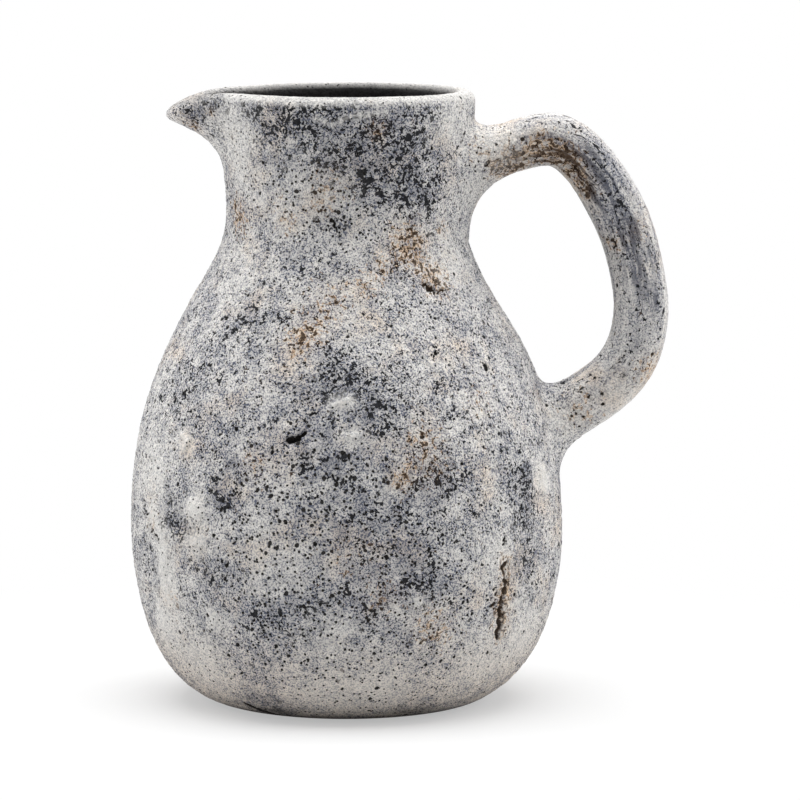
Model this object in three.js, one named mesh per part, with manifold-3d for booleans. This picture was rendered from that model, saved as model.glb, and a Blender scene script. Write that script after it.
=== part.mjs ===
// A hand-built terracotta jug with a pinched pouring lip and a pulled loop handle.
// Units are millimetres and +Z is up. The origin is the centre of the flat foot,
// the handle stands out towards +X and the pouring lip points to -X.
import * as THREE from "three";
import { mergeVertices } from "three/addons/utils/BufferGeometryUtils.js";
import Module from "manifold-3d";

// Outline of the pot: radii from the axis, and the rise of each stretch above the one below it.
const FOOT_RADIUS = 50;
const BELLY_RADIUS = 92.2;
const BELLY_HEIGHT = 78;
const NECK_RADIUS = 51.4;
const SHOULDER_RISE = 128;
const NECK_LENGTH = 54;
const MOUTH_FLARE = 3.2;

// How far each stretch of the outline keeps its direction, as a share of that stretch.
const FOOT_SPREAD = 0.29;
const HEEL_FULLNESS = 0.81;
const SHOULDER_FULLNESS = 0.59;
const NECK_FULLNESS = 0.22;
const COLLAR_FULLNESS = 0.4;
const FLARE_FULLNESS = 0.3;

// Thickness of the clay, and the radius of the rim's rounded edges.
const BASE_THICKNESS = 11;
const WALL = 9.5;
const RIM_WALL = 10;
const RIM_EDGE = 3.5;

// Seams between the pieces of clay: each band has a ridge below that sits in a groove above the last.
const BASE_SEAM_HEIGHT = 9;
const NECK_SEAM_DROP = 8;
const RIM_COIL_HEIGHT = 13;
const RIDGE = 3;
const SLIP = 0.3;

// Pouring lip: how far it is pulled out, how wide and deep the pull is, and how much its nose dips.
const LIP_REACH = 21;
const LIP_HALF_WIDTH = 17;
const LIP_DEPTH = 34;
const LIP_NOSE_DROP = 7;
const LIP_DIP = 5.5;
const LIP_TROUGH_HALF_WIDTH = 13.5;
const LIP_NOTCH_HALF_WIDTH = 32;

// Handle: its roots, one below the rim and one above the belly, and its middle line as distances from the wall.
const UPPER_ROOT_DROP = 31;
const LOWER_ROOT_RISE = 41;
const ARCH_RISE = 8.5;
const ARCH_STANDOFF = 33.5;
const ELBOW_DROP = 17;
const ELBOW_STANDOFF = 63.5;
const GRIP_RISE = 47;
const GRIP_STANDOFF = 56.5;
const HEEL_RISE = 20;
const HEEL_STANDOFF = 35;
const HANDLE_UPPER_THICKNESS = 21.5;
const HANDLE_LOWER_THICKNESS = 25.5;
const HANDLE_WIDTH = 26;

// Lutings: the soft clay packed round each root, as a length along the handle and a reach over the wall.
const UPPER_LUTING_GRIP = 15;
const UPPER_LUTING_REACH_ABOVE = 4;
const UPPER_LUTING_REACH_BELOW = 15;
const LOWER_LUTING_GRIP = 12;
const LOWER_LUTING_REACH_ABOVE = 7;
const LOWER_LUTING_REACH_BELOW = 9;
const LUTING_EDGE = 0.8;

// Fineness of the facets.
const SEGMENTS = 60;
const ROW_STEP = 9;
const COLLAR_ROW_STEP = 6.5;
const EDGE_STEPS = 3;
const HANDLE_SIDES = 24;
const HANDLE_STEPS = 22;
const LUTING_STEPS = 5;
const SEAT_RINGS = 3;

// Roundness of the handle's section: 2 is an ellipse and more is squarer.
const HANDLE_SQUARENESS = 2.4;

const neckHeight = BELLY_HEIGHT + SHOULDER_RISE;
const rimHeight = neckHeight + NECK_LENGTH;
const mouthRadius = NECK_RADIUS + MOUTH_FLARE;
const lowerRootHeight = BELLY_HEIGHT + LOWER_ROOT_RISE;

const wasm = await Module();
wasm.setup();

// Small helpers for counting and for solids.

const counted = (count) => Array.from({ length: count }, (_, i) => i);

function solidFrom(geometry) {
  const bare = new THREE.BufferGeometry();
  bare.setAttribute("position", geometry.getAttribute("position"));
  bare.setIndex(geometry.getIndex());
  const merged = mergeVertices(bare, SLIP / 100);
  return new wasm.Manifold(
    new wasm.Mesh({
      numProp: 3,
      vertProperties: merged.getAttribute("position").array,
      triVerts: new Uint32Array(merged.getIndex().array),
    }),
  );
}

function geometryFrom(solid) {
  const mesh = solid.getMesh();
  const geometry = new THREE.BufferGeometry();
  geometry.setAttribute("position", new THREE.BufferAttribute(mesh.vertProperties, 3));
  geometry.setIndex(new THREE.BufferAttribute(mesh.triVerts, 1));
  return geometry;
}

// The outline runs from the edge of the flat foot, round the belly and up the neck to the mouth.

const footEdge = new THREE.Vector2(FOOT_RADIUS, 0);
const belly = new THREE.Vector2(BELLY_RADIUS, BELLY_HEIGHT);
const neck = new THREE.Vector2(NECK_RADIUS, neckHeight);
const mouth = new THREE.Vector2(mouthRadius, rimHeight - RIM_EDGE);

const outline = new THREE.CurvePath();
outline.add(
  new THREE.CubicBezierCurve(
    footEdge,
    new THREE.Vector2(THREE.MathUtils.lerp(footEdge.x, belly.x, FOOT_SPREAD), footEdge.y),
    new THREE.Vector2(belly.x, THREE.MathUtils.lerp(belly.y, footEdge.y, HEEL_FULLNESS)),
    belly,
  ),
);
outline.add(
  new THREE.CubicBezierCurve(
    belly,
    new THREE.Vector2(belly.x, THREE.MathUtils.lerp(belly.y, neck.y, SHOULDER_FULLNESS)),
    new THREE.Vector2(neck.x, THREE.MathUtils.lerp(neck.y, belly.y, NECK_FULLNESS)),
    neck,
  ),
);
outline.add(
  new THREE.CubicBezierCurve(
    neck,
    new THREE.Vector2(neck.x, THREE.MathUtils.lerp(neck.y, mouth.y, COLLAR_FULLNESS)),
    new THREE.Vector2(mouth.x, THREE.MathUtils.lerp(mouth.y, neck.y, FLARE_FULLNESS)),
    mouth,
  ),
);
const outlineLength = outline.getLength();
const [bellyShare, neckShare] = outline.getCurveLengths().map((length) => length / outlineLength);

// The share of the outline's length at which it reaches a height, found by halving.
function shareAtHeight(height) {
  let low = 0;
  let high = 1;
  while (high - low > 1e-7) {
    const middle = (low + high) / 2;
    if (outline.getPoint(middle).y < height) low = middle;
    else high = middle;
  }
  return (low + high) / 2;
}

function outerRadius(height) {
  return outline.getPoint(shareAtHeight(height)).x;
}

function thicknessAt(share) {
  if (share < bellyShare) {
    return THREE.MathUtils.mapLinear(share, 0, bellyShare, BASE_THICKNESS, WALL);
  }
  return share < neckShare ? WALL : THREE.MathUtils.mapLinear(share, neckShare, 1, WALL, RIM_WALL);
}

// The wall at one place on the outline: its outer and inner points and the way the outline runs.
function wallSection(share) {
  const outer = outline.getPoint(share);
  const along = outline.getTangent(share);
  const outwards = new THREE.Vector2(along.y, -along.x);
  const inner = outer.clone().addScaledVector(outwards, -thicknessAt(share));
  return { outer, inner, along };
}

// The bottom of the groove at a seam, which is also the crest of the next band's ridge.
function seamMiddle({ outer, inner, along }) {
  return outer.clone().lerp(inner, 0.5).addScaledVector(along, -RIDGE);
}

// Closed sections of the wall, as loops of points to turn about the axis.

function wallSides(start, end, rowStep) {
  const steps = Math.max(1, Math.round(((end - start) * outlineLength) / rowStep));
  const sections = counted(steps + 1).map((i) => wallSection(THREE.MathUtils.lerp(start, end, i / steps)));
  return {
    first: sections[0],
    last: sections[steps],
    outerSide: sections.map((section) => section.outer),
    innerSide: sections.map((section) => section.inner).reverse(),
  };
}

function bandLoop(start, end, rowStep) {
  const { first, last, outerSide, innerSide } = wallSides(start, end, rowStep);
  return [...outerSide, seamMiddle(last), ...innerSide, seamMiddle(first)];
}

// From a seam to the rim, whose two edges are rounded over.
function rimLoop(start) {
  const { first, outerSide, innerSide } = wallSides(start, 1, COLLAR_ROW_STEP);
  const round = (radius, from) =>
    counted(EDGE_STEPS + 1).map((i) => {
      const angle = from + (i / EDGE_STEPS) * (Math.PI / 2);
      const turn = new THREE.Vector2(Math.cos(angle), Math.sin(angle)).multiplyScalar(RIM_EDGE);
      return turn.add(new THREE.Vector2(radius, rimHeight - RIM_EDGE));
    });
  const outerEdge = round(mouthRadius - RIM_EDGE, 0);
  const innerEdge = round(innerSide[0].x + RIM_EDGE, Math.PI / 2);
  return [
    ...outerSide.slice(0, -1),
    ...outerEdge,
    ...innerEdge.slice(0, -1),
    ...innerSide,
    seamMiddle(first),
  ];
}

function baseLoop(end) {
  const { last, outerSide, innerSide } = wallSides(0, end, ROW_STEP);
  const footCentre = new THREE.Vector2(0, 0);
  const floorCentre = new THREE.Vector2(0, BASE_THICKNESS);
  return [footCentre, ...outerSide, seamMiddle(last), ...innerSide, floorCentre];
}

function turned(loop) {
  const geometry = new THREE.LatheGeometry([...loop, loop[0]], SEGMENTS);
  return geometry.rotateX(Math.PI / 2);
}

// The potter's fingers pull the lip out and press its trough down, more and more towards the rim.
function pinchedLip(geometry) {
  const position = geometry.getAttribute("position");
  const point = new THREE.Vector3();
  const lipStart = rimHeight - LIP_DEPTH;
  const lipNose = rimHeight - LIP_NOSE_DROP;
  const bell = (distance, halfWidth) => Math.exp(-((distance / halfWidth) ** 2));
  for (const i of counted(position.count)) {
    point.fromBufferAttribute(position, i);
    const radius = Math.hypot(point.x, point.y);
    const sideways = Math.atan2(point.y, -point.x) * mouthRadius;
    const climb = THREE.MathUtils.clamp((point.z - lipStart) / (lipNose - lipStart), 0, 1) ** 2;
    const pulled = radius + LIP_REACH * climb * bell(sideways, LIP_HALF_WIDTH);
    const dip = LIP_DIP * climb * bell(sideways, LIP_TROUGH_HALF_WIDTH);
    position.setXYZ(i, (point.x * pulled) / radius, (point.y * pulled) / radius, point.z - dip);
  }
  return geometry;
}

// The V-shaped notch in the neck and rim that the lip is set into, drawn in by half the slip or out by it.
function lipNotch(inset) {
  const depth = LIP_DEPTH + WALL;
  const halfAngle = Math.atan(LIP_NOTCH_HALF_WIDTH / depth);
  const apex = rimHeight - depth + inset / Math.sin(halfAngle);
  const top = rimHeight + WALL;
  const halfTop = (top - apex) * Math.tan(halfAngle);
  const outlineOfNotch = new THREE.Shape([
    new THREE.Vector2(0, apex),
    new THREE.Vector2(halfTop, top),
    new THREE.Vector2(-halfTop, top),
  ]);
  const length = mouthRadius + 2 * LIP_REACH;
  const prism = new THREE.ExtrudeGeometry(outlineOfNotch, { depth: length, bevelEnabled: false });
  return prism.rotateX(Math.PI / 2).rotateZ(-Math.PI / 2);
}

// The handle's middle line, from inside the neck wall, out round the grip and back into the belly wall.

const upperRootHeight = rimHeight - UPPER_ROOT_DROP;
const handlePlace = (height, standoff) =>
  new THREE.Vector3(outerRadius(height) + standoff, 0, height);

function rootInsideWall(height, next) {
  const root = handlePlace(height, 0);
  const inwards = root.clone().sub(next).normalize();
  return root.addScaledVector(inwards, 1.5 * WALL);
}

const arch = handlePlace(upperRootHeight + ARCH_RISE, ARCH_STANDOFF);
const elbow = handlePlace(upperRootHeight - ELBOW_DROP, ELBOW_STANDOFF);
const grip = handlePlace(lowerRootHeight + GRIP_RISE, GRIP_STANDOFF);
const heel = handlePlace(lowerRootHeight + HEEL_RISE, HEEL_STANDOFF);
const handleLine = new THREE.CatmullRomCurve3([
  rootInsideWall(upperRootHeight, arch),
  handlePlace(upperRootHeight, 0),
  arch,
  elbow,
  grip,
  heel,
  handlePlace(lowerRootHeight, 0),
  rootInsideWall(lowerRootHeight, heel),
]);
const handleLength = handleLine.getLength();

const sideways = new THREE.Vector3(0, 1, 0);
const squared = (value) => Math.sign(value) * Math.abs(value) ** (2 / HANDLE_SQUARENESS);

// A point on the handle's skin, or a little outside it: a share of its length and one of its sides.
function handlePoint(share, side, clearance = 0) {
  const angle = (side / HANDLE_SIDES) * 2 * Math.PI;
  const outwards = handleLine.getTangentAt(share).cross(sideways).normalize();
  const thickness = THREE.MathUtils.lerp(HANDLE_UPPER_THICKNESS, HANDLE_LOWER_THICKNESS, share);
  return handleLine
    .getPointAt(share)
    .addScaledVector(outwards, squared(Math.cos(angle)) * (thickness / 2 + clearance))
    .addScaledVector(sideways, squared(Math.sin(angle)) * (HANDLE_WIDTH / 2 + clearance));
}

const heightOverWall = (point) => Math.hypot(point.x, point.y) - outerRadius(point.z);

// Moves a point straight in or out until it lies a clearance off the wall.
function ontoWall(point, clearance) {
  const radius = Math.hypot(point.x, point.y);
  const wanted = outerRadius(point.z) + clearance;
  return new THREE.Vector3((point.x * wanted) / radius, (point.y * wanted) / radius, point.z);
}

// The share of the handle's length at which one of its sides leaves the wall, sought from a root to the grip.
function shareAtWall(root, side, clearance) {
  let inside = root;
  let outside = 0.5;
  while (Math.abs(outside - inside) > 1e-6) {
    const middle = (inside + outside) / 2;
    if (heightOverWall(handlePoint(middle, side, clearance)) < SLIP + clearance) inside = middle;
    else outside = middle;
  }
  return outside;
}

// Joins rings of points into a skin. It is closed round each ring, and along the rings where asked.
function loft(rings, closedAlong) {
  const around = rings[0].length;
  const positions = rings.flat().flatMap((point) => point.toArray());
  const indices = [];
  const last = closedAlong ? rings.length : rings.length - 1;
  for (const i of counted(last)) {
    for (const k of counted(around)) {
      const next = (i + 1) % rings.length;
      const beside = (k + 1) % around;
      const [a, b] = [i * around + k, i * around + beside];
      const [c, d] = [next * around + beside, next * around + k];
      indices.push(a, d, c, a, c, b);
    }
  }
  const geometry = new THREE.BufferGeometry();
  geometry.setAttribute("position", new THREE.Float32BufferAttribute(positions, 3));
  geometry.setIndex(indices);
  return geometry;
}

const sides = counted(HANDLE_SIDES);
const UPPER_ROOT = 0;
const LOWER_ROOT = 1;

// Rings that close a handle end over its seat on the wall, from the middle of the seat to its edge.
function seatRings(edge) {
  const middle = edge
    .reduce((sum, point) => sum.add(point), new THREE.Vector3())
    .divideScalar(edge.length);
  return counted(SEAT_RINGS).map((ring) =>
    edge.map((point) => ontoWall(middle.clone().lerp(point, ring / SEAT_RINGS), SLIP)),
  );
}

function handleSkin() {
  const starts = sides.map((side) => shareAtWall(UPPER_ROOT, side, 0));
  const ends = sides.map((side) => shareAtWall(LOWER_ROOT, side, 0));
  const rings = counted(HANDLE_STEPS + 1).map((i) =>
    sides.map((side) =>
      handlePoint(THREE.MathUtils.lerp(starts[side], ends[side], i / HANDLE_STEPS), side),
    ),
  );
  const upperSeat = seatRings(rings[0]);
  const lowerSeat = seatRings(rings[HANDLE_STEPS]).reverse();
  return loft([...upperSeat, ...rings, ...lowerSeat], false);
}

// The clay packed round a root: its face sweeps from the handle to the wall in one hollow curve.
function lutingSkin(root, gripLength, reachAbove, reachBelow) {
  const towardsGrip = root === UPPER_ROOT ? 1 : -1;
  const gripShare = (towardsGrip * gripLength) / handleLength;
  const loops = sides.map((side) => {
    const cornerShare = shareAtWall(root, side, SLIP);
    const edgeShare = shareAtWall(root, side, SLIP + LUTING_EDGE);
    const axis = handleLine.getPointAt(cornerShare);
    const corner = handlePoint(cornerShare, side, SLIP);
    const away = corner.clone().sub(axis).normalize();
    const reach = THREE.MathUtils.mapLinear(away.z, -1, 1, reachBelow, reachAbove);
    const foot = corner.clone().addScaledVector(away, reach);
    const face = new THREE.QuadraticBezierCurve3(
      handlePoint(cornerShare + gripShare, side, SLIP + LUTING_EDGE),
      handlePoint(edgeShare, side, SLIP + LUTING_EDGE),
      ontoWall(foot, SLIP + LUTING_EDGE),
    );
    const onWall = counted(LUTING_STEPS).map((i) =>
      ontoWall(foot.clone().lerp(corner, i / LUTING_STEPS), SLIP),
    );
    const onHandle = counted(LUTING_STEPS + 1).map((i) =>
      handlePoint(cornerShare + (gripShare * i) / LUTING_STEPS, side, SLIP),
    );
    const loop = [...face.getPoints(LUTING_STEPS), ...onWall, ...onHandle];
    return root === UPPER_ROOT ? loop.reverse() : loop;
  });
  const rings = counted(loops[0].length).map((i) => loops.map((loop) => loop[i]));
  return loft(rings, true);
}

// The pieces of clay, from the foot up.

const halfSlip = SLIP / 2 / outlineLength;
const baseSeam = shareAtHeight(BASE_SEAM_HEIGHT);
const neckSeam = shareAtHeight(neckHeight - NECK_SEAM_DROP);
const rimSeam = shareAtHeight(rimHeight - RIM_COIL_HEIGHT);
const bodyBands = ["lower_belly_band", "middle_belly_band", "upper_belly_band", "shoulder_band"];

const jug = new THREE.Group();

function addPiece(name, geometry, color) {
  const material = new THREE.MeshStandardMaterial({ color, roughness: 0.92, metalness: 0 });
  const mesh = new THREE.Mesh(geometry, material);
  mesh.name = name;
  jug.add(mesh);
}

addPiece("base_slab", turned(baseLoop(baseSeam - halfSlip)), 0x8f8b86);

bodyBands.forEach((name, i) => {
  const seam = (k) => THREE.MathUtils.lerp(baseSeam, neckSeam, k / bodyBands.length);
  addPiece(name, turned(bandLoop(seam(i) + halfSlip, seam(i + 1) - halfSlip, ROW_STEP)), 0xb3b1ae);
});

const cutNotch = solidFrom(lipNotch(-SLIP / 2));
const collarLoop = bandLoop(neckSeam + halfSlip, rimSeam - halfSlip, COLLAR_ROW_STEP);
const collar = solidFrom(pinchedLip(turned(collarLoop)));
const rim = solidFrom(pinchedLip(turned(rimLoop(rimSeam + halfSlip))));
const pulledWall = solidFrom(pinchedLip(turned(rimLoop(neckSeam + halfSlip))));
const lip = pulledWall.intersect(solidFrom(lipNotch(SLIP / 2)));
addPiece("neck_collar", geometryFrom(collar.subtract(cutNotch)), 0xadacaa);
addPiece("rim_coil", geometryFrom(rim.subtract(cutNotch)), 0xc4c1bc);
addPiece("pouring_lip", geometryFrom(lip), 0xb6b3ae);

addPiece("handle", handleSkin(), 0xa9a6a2);
addPiece(
  "upper_handle_luting",
  lutingSkin(UPPER_ROOT, UPPER_LUTING_GRIP, UPPER_LUTING_REACH_ABOVE, UPPER_LUTING_REACH_BELOW),
  0xb8b4ad,
);
addPiece(
  "lower_handle_luting",
  lutingSkin(LOWER_ROOT, LOWER_LUTING_GRIP, LOWER_LUTING_REACH_ABOVE, LOWER_LUTING_REACH_BELOW),
  0xb8b4ad,
);

export default jug;
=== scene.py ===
# %% [markdown]
# # A weathered terracotta jug
# The jug is hand-built: a base slab, four bands of wall, a neck, a rim coil, a pinched
# lip and a pulled handle, all joined with slip and wiped smooth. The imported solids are
# loaded first and stay as they are. Every piece below replaces one of them and adds what
# a solid leaves out: the soft dents, the pores, the cracks and the limewashed skin.

# %% Load the frame
import math
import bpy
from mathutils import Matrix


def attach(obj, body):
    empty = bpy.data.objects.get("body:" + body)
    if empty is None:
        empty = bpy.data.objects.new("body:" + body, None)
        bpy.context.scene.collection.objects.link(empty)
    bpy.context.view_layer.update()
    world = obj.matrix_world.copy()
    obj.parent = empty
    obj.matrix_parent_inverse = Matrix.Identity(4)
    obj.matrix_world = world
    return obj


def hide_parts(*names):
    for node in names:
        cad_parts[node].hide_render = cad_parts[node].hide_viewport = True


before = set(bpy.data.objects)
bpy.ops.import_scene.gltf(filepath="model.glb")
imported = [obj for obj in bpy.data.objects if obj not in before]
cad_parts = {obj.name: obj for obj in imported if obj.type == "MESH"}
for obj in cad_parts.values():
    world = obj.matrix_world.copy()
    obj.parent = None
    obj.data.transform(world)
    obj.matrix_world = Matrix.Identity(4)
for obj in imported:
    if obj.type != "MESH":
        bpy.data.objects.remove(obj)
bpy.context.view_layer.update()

from types import SimpleNamespace

import bpy
import numpy as np
from mathutils import Vector
from mathutils.bvhtree import BVHTree

# %% [markdown]
# ## The camera
# A photograph of an object on a table is usually taken from far away with a long lens, so
# that the far rim looks nearly as wide as the near one. The place, tilt and lens below put
# the foot, rim and handle where the photograph has them. Some marks are placed later by
# their pixel, so a helper turns a pixel into a ray from the camera.

# %% Camera
IMAGE_PIXELS, SENSOR_WIDTH, CAMERA_LENS = 800, 36.0, 224.0
CAMERA_PLACE = Vector((0.02265, -2.1, 0.395))
CAMERA_TILT = math.radians(7.25)

camera_data = bpy.data.cameras.new("long_lens")
camera_data.sensor_width = SENSOR_WIDTH
camera_data.lens = CAMERA_LENS
camera = bpy.data.objects.new("long_lens", camera_data)
camera.location = CAMERA_PLACE
camera.rotation_euler = (math.radians(90) - CAMERA_TILT, 0, 0)
bpy.context.collection.objects.link(camera)
bpy.context.scene.camera = camera
bpy.context.scene.view_settings.view_transform = "Standard"


def view_ray(pixel_x, pixel_y):
    """Direction from the camera through a pixel of the 800 pixel picture."""
    spread = SENSOR_WIDTH / CAMERA_LENS
    right = (pixel_x / IMAGE_PIXELS - 0.5) * spread
    up = (0.5 - pixel_y / IMAGE_PIXELS) * spread
    ray = Vector((right, up, -1.0))
    ray.rotate(camera.rotation_euler)
    return ray.normalized()


print("camera at", tuple(CAMERA_PLACE), "lens", CAMERA_LENS)

# %% [markdown]
# ## Node helpers
# Geometry Nodes and shader nodes are wired in the same way from Python. One helper makes a
# node, fills its sockets in order and hands back its first output. A second one finds the
# tree from the wires that go in, so a sum of wires is as short as a sum of numbers. The
# others make a tree with named inputs, end it, and run it as a modifier to get a plain
# mesh, since only plain meshes leave this file.

# %% Node helpers
def is_wire(value):
    return isinstance(value, bpy.types.NodeSocket)


def add(tree, kind, *values, **settings):
    """Makes a node, fills its sockets in order, and returns its first output."""
    node = tree.nodes.new(kind)
    for name, value in settings.items():
        setattr(node, name, value)
    sockets = [socket for socket in node.inputs if socket.enabled]
    for socket, value in zip(sockets, values):
        if is_wire(value):
            tree.links.new(value, socket)
        elif value is not None:
            socket.default_value = value
    return next(socket for socket in node.outputs if socket.enabled)


def join(kind, *values, **settings):
    """Makes a node in the tree that its wires come from."""
    tree = next(value.id_data for value in values if is_wire(value))
    return add(tree, kind, *values, **settings)


def maths(operation):
    """A function that makes one kind of Math node."""
    return lambda *values: join("ShaderNodeMath", *values, operation=operation)


plus, minus, times, over = map(maths, ("ADD", "SUBTRACT", "MULTIPLY", "DIVIDE"))
scaled, most, least = map(maths, ("MULTIPLY_ADD", "MAXIMUM", "MINIMUM"))


def vector_maths(operation, *values):
    return join("ShaderNodeVectorMath", *values, operation=operation)


def ramp(value, low, high, start=0.0, end=1.0):
    """A smooth step of value from low to high, mapped to start and end."""
    return join("ShaderNodeMapRange", value, low, high, start, end,
                interpolation_type="SMOOTHSTEP")


print("node helpers ready")

# %% Tree helpers
MM = 0.001


def new_tree(name, kind, inputs, output, output_type):
    """A node tree with inputs listed by type and one output, and its two ends."""
    tree = bpy.data.node_groups.new(name, kind)
    sockets = [("INPUT", label, sort) for sort, labels in inputs.items() for label in labels]
    for in_out, label, sort in sockets + [("OUTPUT", output, output_type)]:
        tree.interface.new_socket(name=label, in_out=in_out, socket_type="NodeSocket" + sort)
    start, end = tree.nodes.new("NodeGroupInput"), tree.nodes.new("NodeGroupOutput")
    return tree, start.outputs, end.inputs[output]


def geometry_tree(name, inputs):
    inputs = {"Geometry": ["Geometry"], **inputs, "Material": ["Material"]}
    return new_tree(name, "GeometryNodeTree", inputs, "Geometry", "Geometry")


def end_tree(tree, geometry, material, result):
    """Ends a tree with real geometry in one material."""
    whole = join("GeometryNodeRealizeInstances", geometry)
    tree.links.new(join("GeometryNodeSetMaterial", whole, None, material), result)
    print("tree", tree.name, "has", len(tree.nodes), "nodes")


def set_inputs(target, tree, lengths, others):
    """Sets a modifier's inputs by identifier. The lengths are in millimetres."""
    modifier = target.modifiers.new(tree.name, "NODES")
    modifier.node_group = tree
    values = {label: length * MM for label, length in lengths.items()} | others
    for item in tree.interface.items_tree:
        if item.in_out == "INPUT" and item.name in values:
            modifier[item.identifier] = values[item.name]


def evaluated_mesh(target):
    """The object's mesh with its modifiers worked in."""
    graph = bpy.context.evaluated_depsgraph_get()
    return bpy.data.meshes.new_from_object(
        target.evaluated_get(graph), preserve_all_data_layers=True, depsgraph=graph)


def linked_object(name, data):
    made = bpy.data.objects.new(name, data)
    bpy.context.collection.objects.link(made)
    return made


print("tree helpers ready")

# %% [markdown]
# ## The outline of the wall
# The belly, shoulder and neck are turned: one outline, drawn as three curves from the foot
# to the mouth, goes round the axis. The wall is 9.5 mm thick, so the inside is the same
# outline moved inwards. The outline could be a curve object with a Screw modifier. Here it
# is a list of rows instead, because every row of the outside then has its partner inside,
# and the bands can later be cut at exact rows. Lengths are in millimetres.

# %% Outline
FOOT_RADIUS, BELLY_RADIUS, NECK_RADIUS, MOUTH_RADIUS = 50.0, 92.2, 51.4, 54.6
BELLY_HEIGHT, NECK_HEIGHT, RIM_HEIGHT, RIM_EDGE = 78.0, 206.0, 260.0, 4.6
BASE_THICKNESS, WALL, RIM_WALL = 11.0, 9.5, 10.0
FOOT_SPREAD, HEEL_FULLNESS = 0.29, 0.85
SHOULDER_FULLNESS, NECK_FULLNESS = 0.59, 0.22
COLLAR_FULLNESS, FLARE_FULLNESS = 0.4, 0.3
edge_height = RIM_HEIGHT - RIM_EDGE
shoulder_rise = NECK_HEIGHT - BELLY_HEIGHT
collar_rise = edge_height - NECK_HEIGHT


def cubic(start, first, second, end, count=600):
    t = np.linspace(0, 1, count)[:, None]
    start, first, second, end = map(np.array, (start, first, second, end))
    return ((1 - t) ** 3 * start + 3 * t * (1 - t) ** 2 * first
            + 3 * t * t * (1 - t) * second + t ** 3 * end)


def walked(points):
    """Distance along a line at each of its points."""
    steps = np.linalg.norm(np.diff(points, axis=0), axis=1)
    return np.concatenate([[0], np.cumsum(steps)])


def follow(walks, walk, line):
    """Points of a flat line at distances along it."""
    return np.column_stack([np.interp(walks, walk, line[:, i]) for i in (0, 1)])


spread_radius = FOOT_RADIUS + FOOT_SPREAD * (BELLY_RADIUS - FOOT_RADIUS)
heel = cubic((FOOT_RADIUS, 0), (spread_radius, 0),
             (BELLY_RADIUS, BELLY_HEIGHT * (1 - HEEL_FULLNESS)),
             (BELLY_RADIUS, BELLY_HEIGHT))
shoulder = cubic((BELLY_RADIUS, BELLY_HEIGHT),
                 (BELLY_RADIUS, BELLY_HEIGHT + SHOULDER_FULLNESS * shoulder_rise),
                 (NECK_RADIUS, NECK_HEIGHT - NECK_FULLNESS * shoulder_rise),
                 (NECK_RADIUS, NECK_HEIGHT))
collar = cubic((NECK_RADIUS, NECK_HEIGHT),
               (NECK_RADIUS, NECK_HEIGHT + COLLAR_FULLNESS * collar_rise),
               (MOUTH_RADIUS, edge_height - FLARE_FULLNESS * collar_rise),
               (MOUTH_RADIUS, edge_height))
outline = np.vstack([heel[:-1], shoulder[:-1], collar])
walk = walked(outline)
belly_walk, neck_walk = walk[len(heel) - 1], walk[len(heel) + len(shoulder) - 2]
thickness = np.interp(walk, [0, belly_walk, neck_walk, walk[-1]],
                      [BASE_THICKNESS, WALL, WALL, RIM_WALL])
tangent = np.gradient(outline, walk, axis=0)
tangent /= np.linalg.norm(tangent, axis=1)[:, None]
outward = np.column_stack([tangent[:, 1], -tangent[:, 0]])
inner_line = outline - thickness[:, None] * outward
print("outline is", round(walk[-1], 1), "mm long")

# %% Radius and lean
LEAN_HEIGHTS = (0, 62, 92, 120, 150, 172, 190, 208, 260)
LEAN_SHIFTS = (0, 0, -0.3, -0.4, -0.5, -1.7, -1.0, 0, 0)
LEAN_SOFTNESS = 8
each_height = np.arange(int(RIM_HEIGHT) + 1)
lean_window = 2 * LEAN_SOFTNESS + 1
lean_line = np.interp(each_height, LEAN_HEIGHTS, LEAN_SHIFTS)
lean_line = np.convolve(np.pad(lean_line, LEAN_SOFTNESS, "edge"),
                        np.ones(lean_window) / lean_window, "valid")


def wall_radius(height):
    """Radius of the outside at a height, in millimetres."""
    return np.interp(height, outline[:, 1], outline[:, 0])


def lean_at(height):
    """How far the axis has strayed towards the handle at a height, in millimetres."""
    return np.interp(height, each_height, lean_line)


print("axis strays by", round(np.abs(lean_line).max(), 2), "mm at most")

# %% [markdown]
# ## Rows of the wall
# The potter's joins lie at the top of the base, at three equal steps up the belly, below
# the neck and below the rim. Rows are set exactly there. Between the joins the rows are
# 0.9 mm apart, fine enough for pores of 2 mm. The list runs up the outside, over the
# rounded rim, and down the inside, so that one sheet makes both faces of the wall.

# %% Rows
ROW_STEP, FOOT_ROWS, EDGE_ROWS, BANDS = 0.9, 14, 7, 4
BASE_SEAM, NECK_SEAM, RIM_SEAM = 9.0, 198.0, 247.0
seam_walks = np.interp([BASE_SEAM, NECK_SEAM, RIM_SEAM], outline[:, 1], walk)
band_walks = np.linspace(seam_walks[0], seam_walks[1], BANDS + 1)
breaks = np.concatenate([[0], band_walks, [seam_walks[2], walk[-1]]])
row_walks, seam_rows = [0.0], []
for low, high in zip(breaks[:-1], breaks[1:]):
    count = math.ceil((high - low) / ROW_STEP)
    row_walks.extend(np.linspace(low, high, count + 1)[1:])
    seam_rows.append(FOOT_ROWS + len(row_walks) - 1)
foot_shares = np.linspace(0, 1, FOOT_ROWS + 1)[:-1, None]
edge_turn = np.linspace(0, math.pi / 2, EDGE_ROWS + 1)[1:]
crest = np.array([[MOUTH_RADIUS - RIM_WALL / 2, RIM_HEIGHT]])


def half_profile(line, foot_height, side, edge_centre):
    """Rows of one face of the wall, from the axis to the middle of the crest."""
    foot = foot_shares * [[line[0, 0], 0]] + [[0, foot_height]]
    edge = np.column_stack([edge_centre + side * RIM_EDGE * np.cos(edge_turn),
                            edge_height + RIM_EDGE * np.sin(edge_turn)])
    return np.vstack([foot, follow(row_walks, walk, line), edge, crest])


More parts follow.
